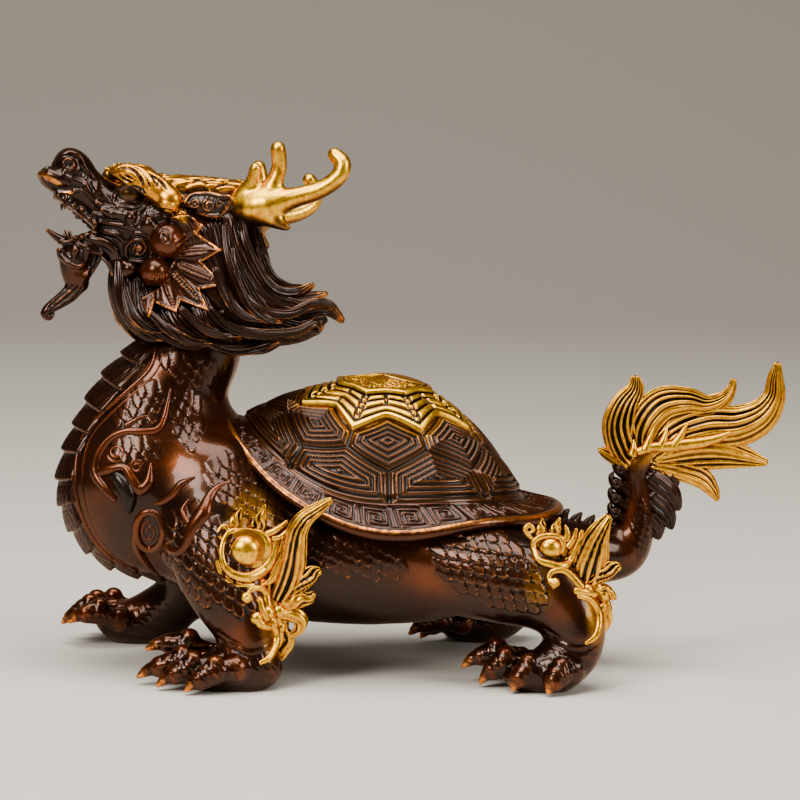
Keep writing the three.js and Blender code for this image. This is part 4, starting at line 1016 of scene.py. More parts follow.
def roll_on(path, radius, proud=0.35, blend=0.45, carve=False, steps=None):
    """Lays a thin roll of clay on the head's outer side along (x, z) points, or draws a groove."""
    course = smooth_path([[x, z, 0] for x, z in path], steps or 6 * (len(path) - 1))
    radii = spread(radius, len(course))
    depth = head.outermost(course[:, 0], course[:, 1], FAR)
    even_out(depth, 2)
    lift = (-proud if carve else proud) * radii
    depth = depth - radii + lift + radii * (1.0 if carve else 0.6)
    head.limb(np.stack([course[:, 0], depth, course[:, 1], radii], 1), blend, len(course) - 1, carve=carve)


def fan_plate(clay, outline, middle, half, blend=0.3):
    """A thin plate with a sharp outline in (x, z); middle gives how far out it stands at each (x, z)."""
    points = np.array(outline)
    first, last, (x, y, z) = clay.window(
        np.array([points[:, 0].min() - 3, 0, points[:, 1].min() - 3]),
        np.array([points[:, 0].max() + 3, 40, points[:, 1].max() + 3]),
    )
    px, pz = x[:, :, 0] + 0 * z[0], z[0] + 0 * x[:, :, 0]
    nearest, inside = np.full(px.shape, 1e9), np.zeros(px.shape, bool)
    for (ax, az), (bx, bz) in zip(points, np.roll(points, -1, axis=0)):
        ex, ez = bx - ax, bz - az
        t = np.clip(((px - ax) * ex + (pz - az) * ez) / (ex * ex + ez * ez), 0, 1)
        nearest = np.minimum(nearest, np.hypot(px - ax - t * ex, pz - az - t * ez))
        crosses = (az > pz) != (bz > pz)
        inside ^= crosses & (px < ex * (pz - az) / (bz - az + 1e-12) + ax)
    outside = np.where(inside, -nearest, nearest)[:, None, :]
    slab = np.abs(y - middle(px, pz)[:, None, :]) - half
    shape = np.maximum(outside, slab).astype(np.float32)
    part = tuple(slice(f, l) for f, l in zip(first, last))
    old = clay.field[part]
    joint = np.maximum(blend - np.abs(old - shape), 0)
    clay.field[part] = np.minimum(old, shape) - joint * joint / (4 * blend)


head = Clay([-114, 0, 98], [-46, 26, 156], 2 * HEAD_CELL)
# Skull and snout, throat, lower jaw and chin
head.limb([[-49, 0, 131, 7, 7], [-60, 0, 129, 12.5, 12], [-72, 0, 127.5, 14.5, 13], [-82, 0, 130.5, 11, 9.4],
           [-90, 0, 136, 7, 6.6], [-96.5, 0, 140.6, 6.2, 5.2], [-101, 0, 143.6, 5.6, 4.6]], 2.5, 24)
head.limb([[-60, 0, 131, 9, 11], [-60, 0, 118, 13, 13.5], [-57, 0, 107, 13, 13.5], [-50, 0, 102, 8, 12]],
          3, 12)
head.ball([-68, 0, 112], [13, 12], 3)
head.limb([[-80, 0, 119.6, 7, 8.6], [-87, 0, 123.5, 4.6, 6.4], [-94, 0, 124.2, 3.4, 5.4],
           [-99.4, 0, 121.8, 4.3, 4.7], [-99.6, 0, 117, 4.2, 4.0], [-99, 0, 113.6, 3.4, 3.2]], 1.6, 20)
head.soften((0, 2) * 2)
head.finer()

# Nose: the hump, its wings and the curled nostrils; then the beaked lip with its raised rim
head.limb([[-103.6, 0, 147.4, 2.6, 3.6], [-101, 0, 149.4, 3.4, 4.8], [-97.6, 0, 147.6, 3.2, 4.2],
           [-94, 0, 142, 3, 3.6], [-90, 0, 139, 3, 4]], 1.2, 16)
head.ball([-101.6, 3.6, 147.2], [3.2, 2.2], 0.8)
head.limb([[-104, 0, 143.8, 3.2, 4.6], [-107, 0, 144.4, 2.5, 3.4], [-109.2, 0, 145.2, 1.0, 1.4]], 0.8, 8)
roll_on([(-109.8, 145.2), (-108.3, 142.9), (-105.8, 140.9), (-102.6, 139.5), (-99.9, 139.9)],
        [0.5, 0.8, 0.9, 0.8, 0.5])
roll_on([(-109.4, 145.6), (-107.4, 146.9), (-104.6, 146.2)], [0.4, 0.55, 0.4])
roll_on([(-109, 145.1), (-107, 144.7), (-104.4, 143.6), (-101.8, 142.4)], [0.8, 2.0, 2.1, 1.2], 0.25, 0.8)
roll_on(curl((-102.3, 147.7), (2.0, 0.5), 1.3, 250), [0.6, 0.5, 0.4], 0.6)
head.ball([-102.3, 6.2, 147.6], 0.9, 0.3, carve=True)
roll_on([(-105.2, 147.6), (-104, 150), (-101.4, 151), (-98.8, 150), (-97, 147.2), (-95, 144)],
        [0.4, 0.7, 0.9, 0.8, 0.6, 0.4])
roll_on([(-104.6, 146.2), (-102.2, 144.9), (-99.6, 145.4), (-98.4, 147.6)], [0.35, 0.5, 0.5, 0.3])
for shift in (0, 1.7, 3.4):
    roll_on([(-98.6 + shift, 148.4 - shift), (-97 + shift, 145.6 - shift), (-97.6 + shift, 143 - shift)],
            [0.35, 0.5, 0.3])
roll_on([(-103.4, 144.6), (-100.4, 143.2), (-97.4, 141.7), (-97.8, 140.2), (-100.4, 140.2)],
        [0.5, 0.8, 0.8, 0.6, 0.4])
roll_on([(-97.2, 142.6), (-96.2, 139.6), (-94, 137), (-91.9, 134.7)], [0.6, 1.0, 1.0, 0.8])
roll_on([(-94.6, 142), (-93, 138.8), (-90.6, 136.4)], [0.4, 0.7, 0.5])
# Gums with knobs, and fangs
gum = smooth_path([[-104.4, 138.6, 2.4], [-101.2, 136.4, 3.0], [-97.8, 133.4, 4.0], [-94.6, 130.6, 5.2]], 7)
for n, (gx, gz, gy) in enumerate(gum):
    head.ball([gx, gy, gz], 1.15 - 0.03 * n, 0.5)
head.limb([[-103.8, 0, 139, 1.8, 2.6], [-99, 0, 136.8, 2.4, 4.0], [-94, 0, 132.4, 2.2, 5]], 0.8, 8)
head.limb([[-102.2, 3.3, 138.2, 0.95], [-102.7, 3.5, 136.6, 0.7], [-102.9, 3.5, 134.9, 0.3]], 0.25, 6)
head.limb([[-98.2, 4.4, 134.6, 0.8], [-98.4, 4.6, 133.2, 0.6], [-98.2, 4.6, 132.2, 0.3]], 0.25, 6)
# Lower jaw: tongue-like horn at its lip, teeth, the leaf in its lids, chin and goatee
head.limb([[-100.4, 0, 124.8, 1.9, 2.8], [-104.2, 0, 126.4, 1.3, 1.8], [-107.6, 0, 128.9, 0.6, 0.7]], 0.6, 10)
for tx, tz in ((-98.6, 127.2), (-96.6, 127.8), (-94.6, 128.4)):
    head.ball([tx, 4.2, tz - 0.6], 1.0, 0.4)
head.limb([[-101.4, 4.2, 126.2, 0.8], [-101.8, 4.4, 127.8, 0.55], [-101.9, 4.4, 129, 0.28]], 0.25, 6)
head.ball([-99.2, 0.0, 115.6], [3.5, 3.7], 0.6)
roll_on([(-104.2, 125.2), (-101.6, 125.4), (-99.2, 125), (-96.8, 122.6), (-97.6, 119.4), (-99.2, 118),
         (-101.4, 118.8), (-103.6, 120.8), (-104.2, 123)], [0.6, 0.7, 0.7, 0.8, 0.8], 0.5)
roll_on([(-102.9, 124), (-100.6, 124.2), (-98.6, 122.4), (-99.2, 119.8), (-101.2, 120.4), (-102.6, 122)],
        [0.4, 0.5, 0.5, 0.4])
roll_on([(-100.4, 124.4), (-100.3, 122.7), (-100.6, 120.6)], [0.5, 1.3, 0.5], 0.8)
for shift in (0, 1.5):
    roll_on([(-97.4 + shift, 125.4), (-94.2 + shift, 121.8), (-96 + shift, 117.4), (-97.6 + shift, 114.6)],
            [0.4, 0.7, 0.6, 0.3])
head.limb([[-99.2, 0, 113.6, 2.9, 3.0], [-101, 0, 110.8, 2.6, 2.6], [-104.4, 0, 108.2, 2.1, 2.1],
           [-107.4, 0, 106.2, 1.7, 1.8], [-108.8, 0, 104.6, 1.2, 1.4], [-107.6, 0, 103.6, 1.0, 1.2],
           [-106.4, 0, 104.4, 0.6, 0.8]], 0.7, 24)
for off, size in ((1.4, 0.35), (0.0, 0.4), (-1.3, 0.35)):
    roll_on([(-99.6 - off, 112.4 + off * 0.3), (-101.6 - off * 0.9, 110 + off * 0.9),
             (-104.6 - off * 0.5, 107.8 + off * 0.8),
                   (-107.4 - off * 0.2, 105.9 + off * 0.4)], [size, size, 0.3], 0.6, 0.25, carve=True)
# Upper lip line running back into the spiral at the corner of the mouth, with two lines beside it
corner = (-82.8, 123.0)
lip_line = [(-94.6, 131.6), (-91.6, 130.8), (-88, 130.2), (-85, 129.2)]
for gap, size in ((0.0, 0.85), (1.75, 0.6), (3.3, 0.5)):
    path = [(px + gap * 0.2, pz + gap) for px, pz in lip_line]
    path += curl(corner, (6.0 + gap * 0.75, 5.2 + gap * 0.7), -0.42, 80)
    roll_on(path, [0.5, size, size, size * 0.9, 0.4], 0.6, steps=60)
roll_on(curl(corner, (4.7, 0.9), -1.9, 100), [0.7, 0.75, 0.65, 0.5], 0.7, steps=60)
head.ball([corner[0], 11.6, corner[1]], 1.2, 0.5)
# Band of muscle under the eye and the small balls
roll_on([(-92.6, 134.4), (-89.6, 133.2), (-86.8, 133.2)], [0.9, 1.5, 1.0], 0.5)
roll_on([(-94.2, 136.6), (-91, 135.2), (-87.4, 135.1), (-83.6, 135.4)], [0.5, 0.7, 0.7, 0.5], 0.5)
roll_on(curl((-84.6, 131.9), (2.3, 2.3), 0.95, 200), 0.45, 0.5)
head.ball([-84.6, 9.8, 131.9], 1.9, 0.4)
head.ball([-79.6, 11.0, 129.9], 2.5, 0.4)
head.ball([-85.3, 8.8, 117.2], 2.4, 0.5)
# Folds of the lower jaw running back from the lids of its leaf
roll_on([(-98.4, 126.6), (-95, 126), (-91.6, 125), (-88.6, 122.4), (-86.8, 119)], [0.6, 1.2, 1.3, 1.1, 0.6],
        0.5)
roll_on([(-96, 122.6), (-92.8, 122), (-90, 119.8), (-88.4, 116)], [0.5, 0.9, 0.9, 0.6], 0.5)
roll_on([(-94.6, 129.8), (-91.6, 128.2), (-88.6, 127.4), (-86.4, 125.2)], [0.5, 0.9, 0.8, 0.5], 0.5)
# Cheeks
head.ball([-74.6, 12.2, 124.7], [4.9, 5.6], 0.5)
head.ball([-74.6, 12.4, 126.0], [4.6, 5.2], 0.8)
head.ball([-78.2, 11.8, 116.4], [4.3, 5.0], 0.5)
roll_on([(-77.2, 127.8), (-75.8, 128.6), (-74.8, 126.8), (-75.6, 124.6), (-76.6, 125.4), (-76.4, 127)],
        0.3, 0.7, 0.2, carve=True)
roll_on([(-76.2, 126.4), (-75.2, 125.6), (-74.6, 124)], 0.28, 0.7, 0.2, carve=True)
# Eye between its lids
head.ball([-84.4, 5.2, 139.1], [3.7, 4.0], 0.4)
roll_on([(-89, 138.4), (-87.2, 140.6), (-84.2, 141.6), (-81.6, 140.4), (-79.8, 138.4)],
        [0.5, 0.9, 1.0, 0.9, 0.5], 0.7)
for drop, size in ((0, 0.65), (1.5, 0.45), (2.8, 0.4)):
    roll_on([(-88.8 - 0.2 * drop, 138.2 - 0.5 * drop), (-87 - 0.1 * drop, 136.7 - 0.8 * drop),
             (-84.2, 136.2 - drop),
                   (-81.4, 136.7 - 0.9 * drop), (-79.6, 138 - 0.7 * drop)], [0.4, size, size, 0.4], 0.6)
# Brow
head.limb([[-82, 0, 143.2, 1.8, 5], [-74, 0, 141, 3.2, 8], [-62, 0, 140.2, 3.2, 9], [-50, 0, 138.8, 3.2, 8]],
          1.2, 12)
head.limb([[-88.8, 5.6, 145, 1.7, 1.7], [-85.8, 7.4, 145, 2.9, 2.5], [-81.4, 9.4, 143, 3.7, 2.9],
           [-77.6, 11, 140.6, 3.8, 3.0], [-74.2, 12, 137.8, 3.6, 3.0]], 0.6, 20)
head.ball([-73.8, 12.6, 137], [3.7, 3.2], 0.4)
for path in (
    [(-88.6, 146.2), (-86.2, 146.4), (-84, 145), (-82.8, 143.2)],
    [(-86.6, 144), (-84.4, 143.6), (-82.4, 141.8)],
    [(-83.4, 146.8), (-81.4, 145.2), (-80, 142.8), (-79.8, 140.6)],
    [(-80.4, 145.2), (-78.2, 143), (-77.4, 140.6)],
    [(-88, 144.6), (-86, 142.8), (-84.2, 142.2)], [(-85.8, 147), (-83.6, 145.4), (-81.8, 142.6),
                                                   (-81.6, 140.4)],
    [(-78.6, 144), (-76.2, 142), (-75, 140)], [(-84.6, 141.4), (-82.4, 140.4), (-80.6, 138.8)],
):
    roll_on(path, [0.2, 0.5, 0.55, 0.2], 0.6, 0.25, carve=True)
for path in ([(-87.6, 145.2), (-85.4, 145.2), (-83.4, 143.6), (-82.4, 141.8)],
             [(-82.2, 146), (-80.2, 144), (-78.9, 141.4)]):
    roll_on(path, [0.3, 0.75, 0.75, 0.3], 0.4, 0.4)
for cx, cz, aim in ((-88.6, 146.4, 130), (-87, 147.2, 95), (-84.6, 147.2, 80), (-82, 146.4, 60),
                    (-79, 145.6, 40)):
    tx, tz = cx + 1.6 * math.cos(math.radians(aim)), cz + 1.6 * math.sin(math.radians(aim))
    head.limb([[cx + 0.6, 5, cz - 1.6, 1.3], [cx, 5, cz - 0.3, 1.0], [tx, 4.6, tz - 0.8, 0.5]], 0.4, 8)
rng = np.random.default_rng(3)
bare_crown = head.field.copy()
for _ in range(90):  # short locks swept back over the crown, their tips lifted
    kx, ky, long, sway = rng.uniform(-84, -55), rng.uniform(0, 9), rng.uniform(5, 9), rng.uniform(-1.4, 1.4)
    lock = []
    for t, radius in ((0, 0.5), (0.35, 0.9), (0.7, 0.8), (1, 0.35)):
        place = np.array([min(kx + long * t, -49.5), min(abs(ky + sway * t), 9.4)])
        i, j = ((place - head.low[:2]) / head.cell).round().astype(int)
        top = head.low[2] + head.cell * np.flatnonzero(bare_crown[i, j] < 0)[-1]
        lock.append([*place, top - 0.3 + 1.2 * t * t, radius])
    head.limb(lock, 0.2, 9)
# Frill: smooth panels between double ribs, with saw teeth round the edge
TEETH = [(-64.6, 129.6), (-66.6, 127.6), (-59.5, 122.4), (-65.2, 119), (-59, 112.2), (-65.9, 110.9),
         (-63.8, 104.6), (-71.4, 107.8), (-73, 104.2), (-79.6, 107.6), (-81.2, 103)]
HUB = (-77.5, 121.0)
RIB_ANGLES = np.sort([math.degrees(math.atan2(tz - HUB[1], tx - HUB[0])) for tx, tz in TEETH[::2]])


def frill_stand(px, pz):
    """How far out the frill stands: it flares backward, and each panel is hollow between its ribs."""
    angle = np.degrees(np.arctan2(pz - HUB[1], px - HUB[0]))
    distance = np.hypot(px - HUB[0], pz - HUB[1])
    between = np.interp(angle, RIB_ANGLES, np.arange(len(RIB_ANGLES)))
    hollow = 0.5 - 0.5 * np.cos(2 * np.pi * between)
    return 10.4 + 0.33 * distance - 0.9 * hollow * smoothstep(4, 12, distance)


fan_plate(head, [(-74, 132), (-69, 132.6)] + TEETH + [(-83, 108.6), (-77, 112), (-72, 121)], frill_stand, 0.8)
for tx, tz in TEETH[::2]:
    for off in (-0.6, 0.6):
        dx, dz = tx - HUB[0], tz - HUB[1]
        long = math.hypot(dx, dz)
        sx, sz = -dz / long * off, dx / long * off
        roll_on([(HUB[0] + dx * 0.35 + sx, HUB[1] + dz * 0.35 + sz),
                 (HUB[0] + dx * 0.65 + sx, HUB[1] + dz * 0.65 + sz),
                       (tx - dx * 0.06 + sx * 0.2, tz - dz * 0.06 + sz * 0.2)], [0.4, 0.4, 0.25],
                0.7, 0.25, steps=16)
for (ax, az), (bx, bz) in zip(TEETH, TEETH[1:]):
    sx, sz = (0.04 * (HUB[n] - (a + b) / 2) for n, (a, b) in enumerate(((ax, bx), (az, bz))))
    roll_on([(ax + sx, az + sz), ((ax + bx) / 2 + sx, (az + bz) / 2 + sz), (bx + sx, bz + sz)],
            0.4, 0.4, 0.3, steps=8)
# Combed hair in an arc round the upper cheek
for n in range(5):
    grow = 0.95 * n
    roll_on([(-80.4 + 0.2 * n, 131.6 + grow * 0.9), (-77 + 0.1 * grow, 132.2 + grow),
             (-73.4 + 0.4 * grow, 131.6 + grow * 0.8),
                   (-70.2 + 0.9 * grow, 128.4 + 0.5 * grow), (-68.8 + grow, 124.4)],
            [0.3, 0.5, 0.5, 0.45, 0.25], 0.6, 0.3)
# Ear: an open leaf with two spirals in it
head.limb([[-69, 11.5, 136.6, 1.6, 1.4], [-64, 13.4, 136, 3.4, 1.6], [-59, 15.4, 135.6, 3.2, 1.5],
           [-56.6, 16.6, 137.4, 0.7, 0.7]], 0.5, 12,
          out=(0, 1, 0.1))
roll_on([(-69.4, 136.4), (-67.4, 138.4), (-63, 138.7), (-59.4, 137.8), (-57, 137.4), (-57.8, 135),
         (-59.6, 132.6), (-62.6, 132.4), (-66, 133.2)], [0.5, 0.6, 0.7, 0.7, 0.7, 0.5], 0.7, 0.25, steps=50)
roll_on(curl((-66.8, 136), (1.5, 0.35), 1.3, 180), 0.32, 0.7, 0.2)
roll_on(curl((-63, 135.2), (1.7, 0.4), 1.4, 120), 0.34, 0.7, 0.2)
roll_on(curl((-59.8, 135.8), (1.3, 0.35), 1.2, 60), 0.3, 0.7, 0.2)

half = head.field
head.field = np.concatenate([half[:, :0:-1], half], axis=1)
head.low = head.low - np.array([0, (half.shape[1] - 1) * HEAD_CELL, 0], np.float32)
points, faces = head.surface()
points = relax(points, faces, 1)
normals = vertex_normals(points, faces)
x, y, z = points[:, 0], np.abs(points[:, 1]), points[:, 2]
fine = relief_of(points, faces, normals, 3)
broad = relief_of(points, faces, normals, 14)
brow = ((1 - smoothstep(3.6, 4.6, np.abs((z - 141.8) + 0.66 * (x + 80)) * 0.83)) * smoothstep(-91, -89.4, x)
        * smoothstep(-68.8, -70.8, x) * smoothstep(3, 5, y)
        * smoothstep(0, 1.4, z - 139.4 + 0.8 * (x + 83.4)))
crest = smoothstep(139, 140.4, z) * smoothstep(-90, -88, x) * smoothstep(0, 1.5, z - 143.4 + 0.5 * (x + 86))
gilt_head = np.clip(np.maximum(brow, crest), 0, 1)
eye = 1 - smoothstep(3.0, 4.0, np.hypot(x + 84.4, 1.5 * (z - 139)))
teeth_edge = 1 - smoothstep(0.5, 1.2, np.min([
    np.hypot(x - (ax + (bx - ax) * s), z - (az + (bz - az) * s))
    for (ax, az), (bx, bz) in zip(TEETH, TEETH[1:]) for s in (0, 0.2, 0.4, 0.6, 0.8, 1)], axis=0))
wear_and_highlight = smoothstep(0.02, 0.13, fine)
to_tip = np.min([np.hypot(x - tx, z - tz) for tx, tz in TEETH[::2]], axis=0)
frill_tips = (1 - smoothstep(0.5, 5, to_tip)) * smoothstep(8, 10, y)
from_hub = np.hypot(x - HUB[0], z - HUB[1])
on_frill = smoothstep(5, 8, from_hub) * smoothstep(11.5, 12.5, y) * (x > -84) * (z < 130)
# Painted light on the cheeks: each ball's red-brown is strongest on its lower, lit half
cheek_glow_lit_below = 0
for cx, cz, rx, rz in ((-74.6, 124.9, 5.2, 6), (-78.2, 116.4, 4.6, 4.3)):
    on_cheek = 1 - smoothstep(0.9, 1.15, np.hypot((x - cx) / rx, (z - cz) / rz))
    cheek_glow_lit_below = cheek_glow_lit_below + on_cheek * (1 - 0.75 * smoothstep(-0.3, 0.7, (z - cz) / rz))
on_ear = (1 - smoothstep(0.9, 1.15, np.hypot((x + 63) / 8.4, (z - 135.6) / 4.6))) * smoothstep(9, 11, y)
chin = 1 - smoothstep(3.4, 4.4, np.hypot(x + 99.2, z - 115.4))
lip_edge = 1 - smoothstep(0.7, 1.5, np.abs((z - 145.2) + 0.72 * (x + 109.8)) + 2 * smoothstep(-101, -99, x))
saw_teeth = 0.4 * teeth_edge * (y > 8) * smoothstep(-0.02, 0.04, fine)
wear_and_highlight = (0.5 + 0.35 * on_ear) * wear_and_highlight + 0.3 * frill_tips + saw_teeth + 0.8 * lip_edge * (fine > 0.02)
# Red-brown on the broad swellings is painted light on lit forms; hollow darkens creases with patina and
# painted shade
glow = 0.4 * smoothstep(0.1, 0.5, broad) + 0.5 * cheek_glow_lit_below + 0.3 * chin + 0.4 * frill_tips + 0.12 * on_frill
head_marks = {
    "wear_and_highlight": np.clip(wear_and_highlight, 0, 1),
    "hollow": smoothstep(0.01, 0.09, -fine) * (1 - 0.5 * on_frill),
    "glow": np.clip(glow, 0, 1),
    "gilt": np.where(eye > 0.4, 0.06, gilt_head * (1 - 0.35 * crest * smoothstep(0.06, -0.02, fine))),
}
points, faces, head_marks = thinned(points, faces, head_marks, HEAD_TRIANGLES)
cast("head", turned(points), faces, head_marks)

# Antlers: a pair of smooth gilt beams with a swollen bulb and three tines each, the far one hanging lower.
# Cast in one with the head, filed smooth and gilded all over; painted shade leaves the undersides browner and
# darker, a painted highlight makes the upper sides paler, and the low tine is left brown.
ANTLER_BEAM = [
    [-54, 6, 135.5, 4], [-47, 11, 135, 5.6], [-39, 15, 137, 3.3], [-31, 18, 139.3, 2.7],
    [-25.6, 20, 143, 2.6], [-24.2, 20, 147, 2.5], [-26.2, 18.4, 149.6, 2.2],
]
ANTLER_TINES = [
    [[-47, 11, 135.5, 3.8], [-43.8, 13, 140.5, 2.9], [-41.8, 14, 146, 2.3], [-42.2, 15, 151.6, 2.3]],
    [[-46, 12, 133, 3.4], [-42.6, 14.5, 130.4, 2.2], [-39.8, 16, 128.6, 1.1]],
    [[-52, 9, 138, 2.8], [-49.6, 12, 142, 2], [-48.6, 13.4, 146, 1.8]],
]
FAR_ANTLER_DROOP = 0.46

for side, name in ((NEAR, "antler_near"), (FAR, "antler_far")):
    droop = FAR_ANTLER_DROOP if side == FAR else 0
    antler = Clay([-60, min(side * 2, side * 24), 112], [-20, max(side * 2, side * 24), 157], 0.5)
    for stations in (ANTLER_BEAM, *ANTLER_TINES):
        antler.limb([[x, side * y, z - droop * (y - 6), r] for x, y, z, r in stations], 1.6, 24)
    antler.soften((0, 1, 2) * 2)
    points, faces = antler.surface()
    points = relax(points, faces, 2)
    normals = vertex_normals(points, faces)
    # Painted shade on the undersides, painted highlight on the upper sides
    under = smoothstep(0.2, 0.9, -normals[:, 2])
    below_beam = 135 - droop * (side * points[:, 1] - 6) - points[:, 2]
    low_tine = smoothstep(0.35, 0.9, below_beam / 6.5) * (points[:, 0] > -44.5)
    cast(name, turned(points), faces, {
        "gilt": (1 - 0.5 * under) * (1 - 0.8 * low_tine),
        "wear_and_highlight": 0.8 * (1 - under) * (1 - 0.5 * low_tine),
        "hollow": 0.45 * under,
    })

# Mane: locks that fall behind the frill and sweep back to curling tips. The wax was drawn with a toothed
# comb, so each lock is one thick ribbon with ridges running along it; its grooves and hidden side are dark
# with patina and painted shade, and its edges and tips are rubbed to copper.
def combed(stations, out=(0, 1, 0), ridges=9, groove=0.45, steps=None, seed=0, around=False, inner=8, fine=6,
           keen=0.75):
    """A lock through stations (x, y, z, half width, half depth) with ridges along its outer side, or all
    around, the narrower the higher keen is. It faces outward by 1 on the crest of a ridge, 1.5 on the crests
    along its edges and -1 in a groove or on the hidden side."""
    rng = np.random.default_rng(seed)
    path = smooth_path(stations, steps or 9 * (len(stations) - 1))
    centre, wide, deep = path[:, :3], path[:, 3], path[:, 4]
    along, out, across = frame_along(centre, out)
    t = np.linspace(0, 1, len(path))
    if around:
        number = 2 * ridges
        angle = np.linspace(0, 2 * np.pi, number * fine, endpoint=False)
        u = angle / (2 * np.pi) * 2 * ridges
        drawn = np.ones(len(angle))
    else:
        number = ridges
        comb_arc = np.linspace(-0.12 * np.pi, 1.12 * np.pi, ridges * fine + 1)
        hidden = np.linspace(1.12 * np.pi, 1.88 * np.pi, inner + 2)[1:-1]
        angle = np.concatenate([comb_arc, hidden])
        u = np.concatenate([np.linspace(0, ridges, len(comb_arc)), np.zeros(len(hidden))])
        drawn = np.concatenate([np.ones(len(comb_arc)), np.zeros(len(hidden))])
    wander = 0.5 * np.sin(2 * np.pi * (t[:, None] * rng.uniform(0.6, 1.2) + rng.random()) + 0.5 * u[None, :])
    phase = u[None, :] + (wander if not around else 0.4 * wander)
    depths = rng.choice([0.45, 0.7, 1.0, 1.5], number + 6)
    nearest = depths[np.mod(np.round(phase).astype(int), number if around else number + 6)]
    crest = np.abs(np.sin(np.pi * phase)) ** keen
    girth = np.pi * np.sqrt((wide**2 + deep**2) / 2) / ridges  # the pitch of the ridges at each place
    cut = groove * np.minimum(1, girth / 0.9)[:, None] * nearest * (1 - crest) * drawn[None, :]
    c, s = np.cos(angle)[None, :, None], np.sin(angle)[None, :, None]
    w, d = wide[:, None, None], deep[:, None, None]
    normal = c * across[:, None] / w + s * out[:, None] / d
    normal /= np.linalg.norm(normal, axis=2, keepdims=True)
    rings = centre[:, None] + w * c * across[:, None] + d * s * out[:, None] - cut[:, :, None] * normal
    ends = 0.7 * np.minimum(wide, deep)[[0, -1], None] * along[[0, -1]]
    tips = centre[[0, -1]] + np.array([[-1], [1]]) * ends
    facing = np.where(drawn[None, :] > 0, 2 * (1 - nearest * (1 - crest)) - 1, -1)
    rim = smoothstep(1.3, 0.7, np.minimum(u, number - u))[None, :] * (0 if around else 1)
    facing = np.clip(facing, -1, 1) + 0.5 * rim * drawn[None, :] * smoothstep(0, 1, facing)
    return closed(rings, tips, facing, 0.6)


MANE = [
    [[-51.5, 4, 133, 4, 3.4], [-49.6, 6, 124.6, 4.2, 3.6], [-47.4, 7.4, 118.4, 3.8, 3.4],
     [-44, 8, 113.4, 3.0, 2.8], [-39, 8.3, 110.9, 2.2, 2.2], [-34.6, 8.5, 110.6, 1.9, 1.3],
     [-30.8, 9, 112, 0.5, 0.5]],
    [[-55.5, 8, 132, 3.8, 3], [-54, 10.5, 122.4, 4.2, 3.4], [-51.6, 11.6, 115.4, 4.2, 3.4],
     [-48, 12.4, 109.6, 4.2, 3.2], [-42.4, 12.8, 106, 3.8, 3], [-36.4, 12.8, 104.8, 3.4, 2.8],
     [-31.4, 12.5, 105.4, 2.8, 2.4], [-27.8, 12.2, 105.2, 2.3, 2], [-25, 12, 103.4, 1.7, 1.5],
     [-23.2, 12, 101.4, 1, 0.9]],
    [[-60, 11, 131, 3.8, 3], [-57.6, 13, 120, 4.2, 3.2], [-54.2, 14, 111.8, 4.4, 3.2],
     [-50.2, 14.4, 105.4, 4.4, 3], [-45, 14.2, 101.2, 4, 2.8], [-39.4, 13.6, 99.4, 3.2, 2.5],
     [-34.4, 13, 98.8, 2.4, 2], [-30.8, 12.4, 99.3, 1.6, 1.4], [-29, 12, 100.7, 0.8, 0.7]],
    [[-64.5, 11.5, 128.6, 3, 2.4], [-61.4, 13.4, 119, 3.2, 2.6], [-59, 15, 111.4, 3.2, 2.6],
     [-55.6, 16, 105, 2.8, 2.3], [-51.6, 15.6, 101.7, 1.8, 1.6], [-46.4, 15.2, 101, 0.6, 0.5]],
    [[-68.5, 9, 116, 3, 2.2], [-65.6, 13.4, 107.4, 3.2, 2.6], [-63.4, 16, 101.9, 2.9, 2.4],
     [-60, 15.6, 98, 2.1, 1.9], [-56.8, 15.2, 96.5, 1.4, 1.3], [-53.8, 15, 96.9, 0.5, 0.5]],
    [[-62.6, 12.8, 103, 3.8, 3], [-58.6, 13.4, 97.4, 3.4, 2.8], [-53.2, 13, 94.6, 2.5, 2.3],
     [-47.2, 12.4, 94, 1.9, 1.7], [-43.2, 12, 95.1, 1.3, 1.2], [-41, 12, 95.9, 0.6, 0.5]],
    [[-57.4, 13.2, 106, 3.8, 3], [-52.8, 13, 100.4, 3.6, 3], [-46.8, 12.4, 97.6, 3, 2.6],
     [-40.8, 12, 97, 2.5, 2.2], [-35.2, 11.6, 97.4, 1.8, 1.6], [-31.2, 11.4, 98.2, 0.8, 0.8]],
    [[-73.6, 9.4, 111, 3.4, 2.6], [-71.6, 13.4, 102.6, 3.4, 2.7], [-67.6, 15, 97.8, 2.6, 2.3],
     [-61.8, 14.6, 95.7, 1.6, 1.5], [-56, 14.4, 96, 0.6, 0.5]],
    [[-80, 7.4, 111, 3.5, 2.6], [-77.2, 11.4, 102.4, 3.5, 2.8], [-72.8, 13.6, 97.5, 2.7, 2.3],
     [-67.4, 13.2, 95.2, 1.7, 1.6], [-63, 13, 95.5, 0.6, 0.5]],
    [[-84.4, 5, 115, 3.2, 2.8], [-84, 8.8, 106.4, 3.5, 2.9], [-80.8, 11.3, 101.3, 2.8, 2.4],
     [-76.6, 11.4, 98.3, 1.7, 1.6], [-73.2, 11.4, 98.7, 0.6, 0.5]],
    [[-85.6, 3.4, 120, 3.2, 3], [-86, 4.8, 112, 3.5, 3], [-84, 6, 104, 3.1, 2.8], [-80, 7, 98.6, 2.2, 2],
     [-75.6, 8, 96.9, 0.7, 0.6]],
]
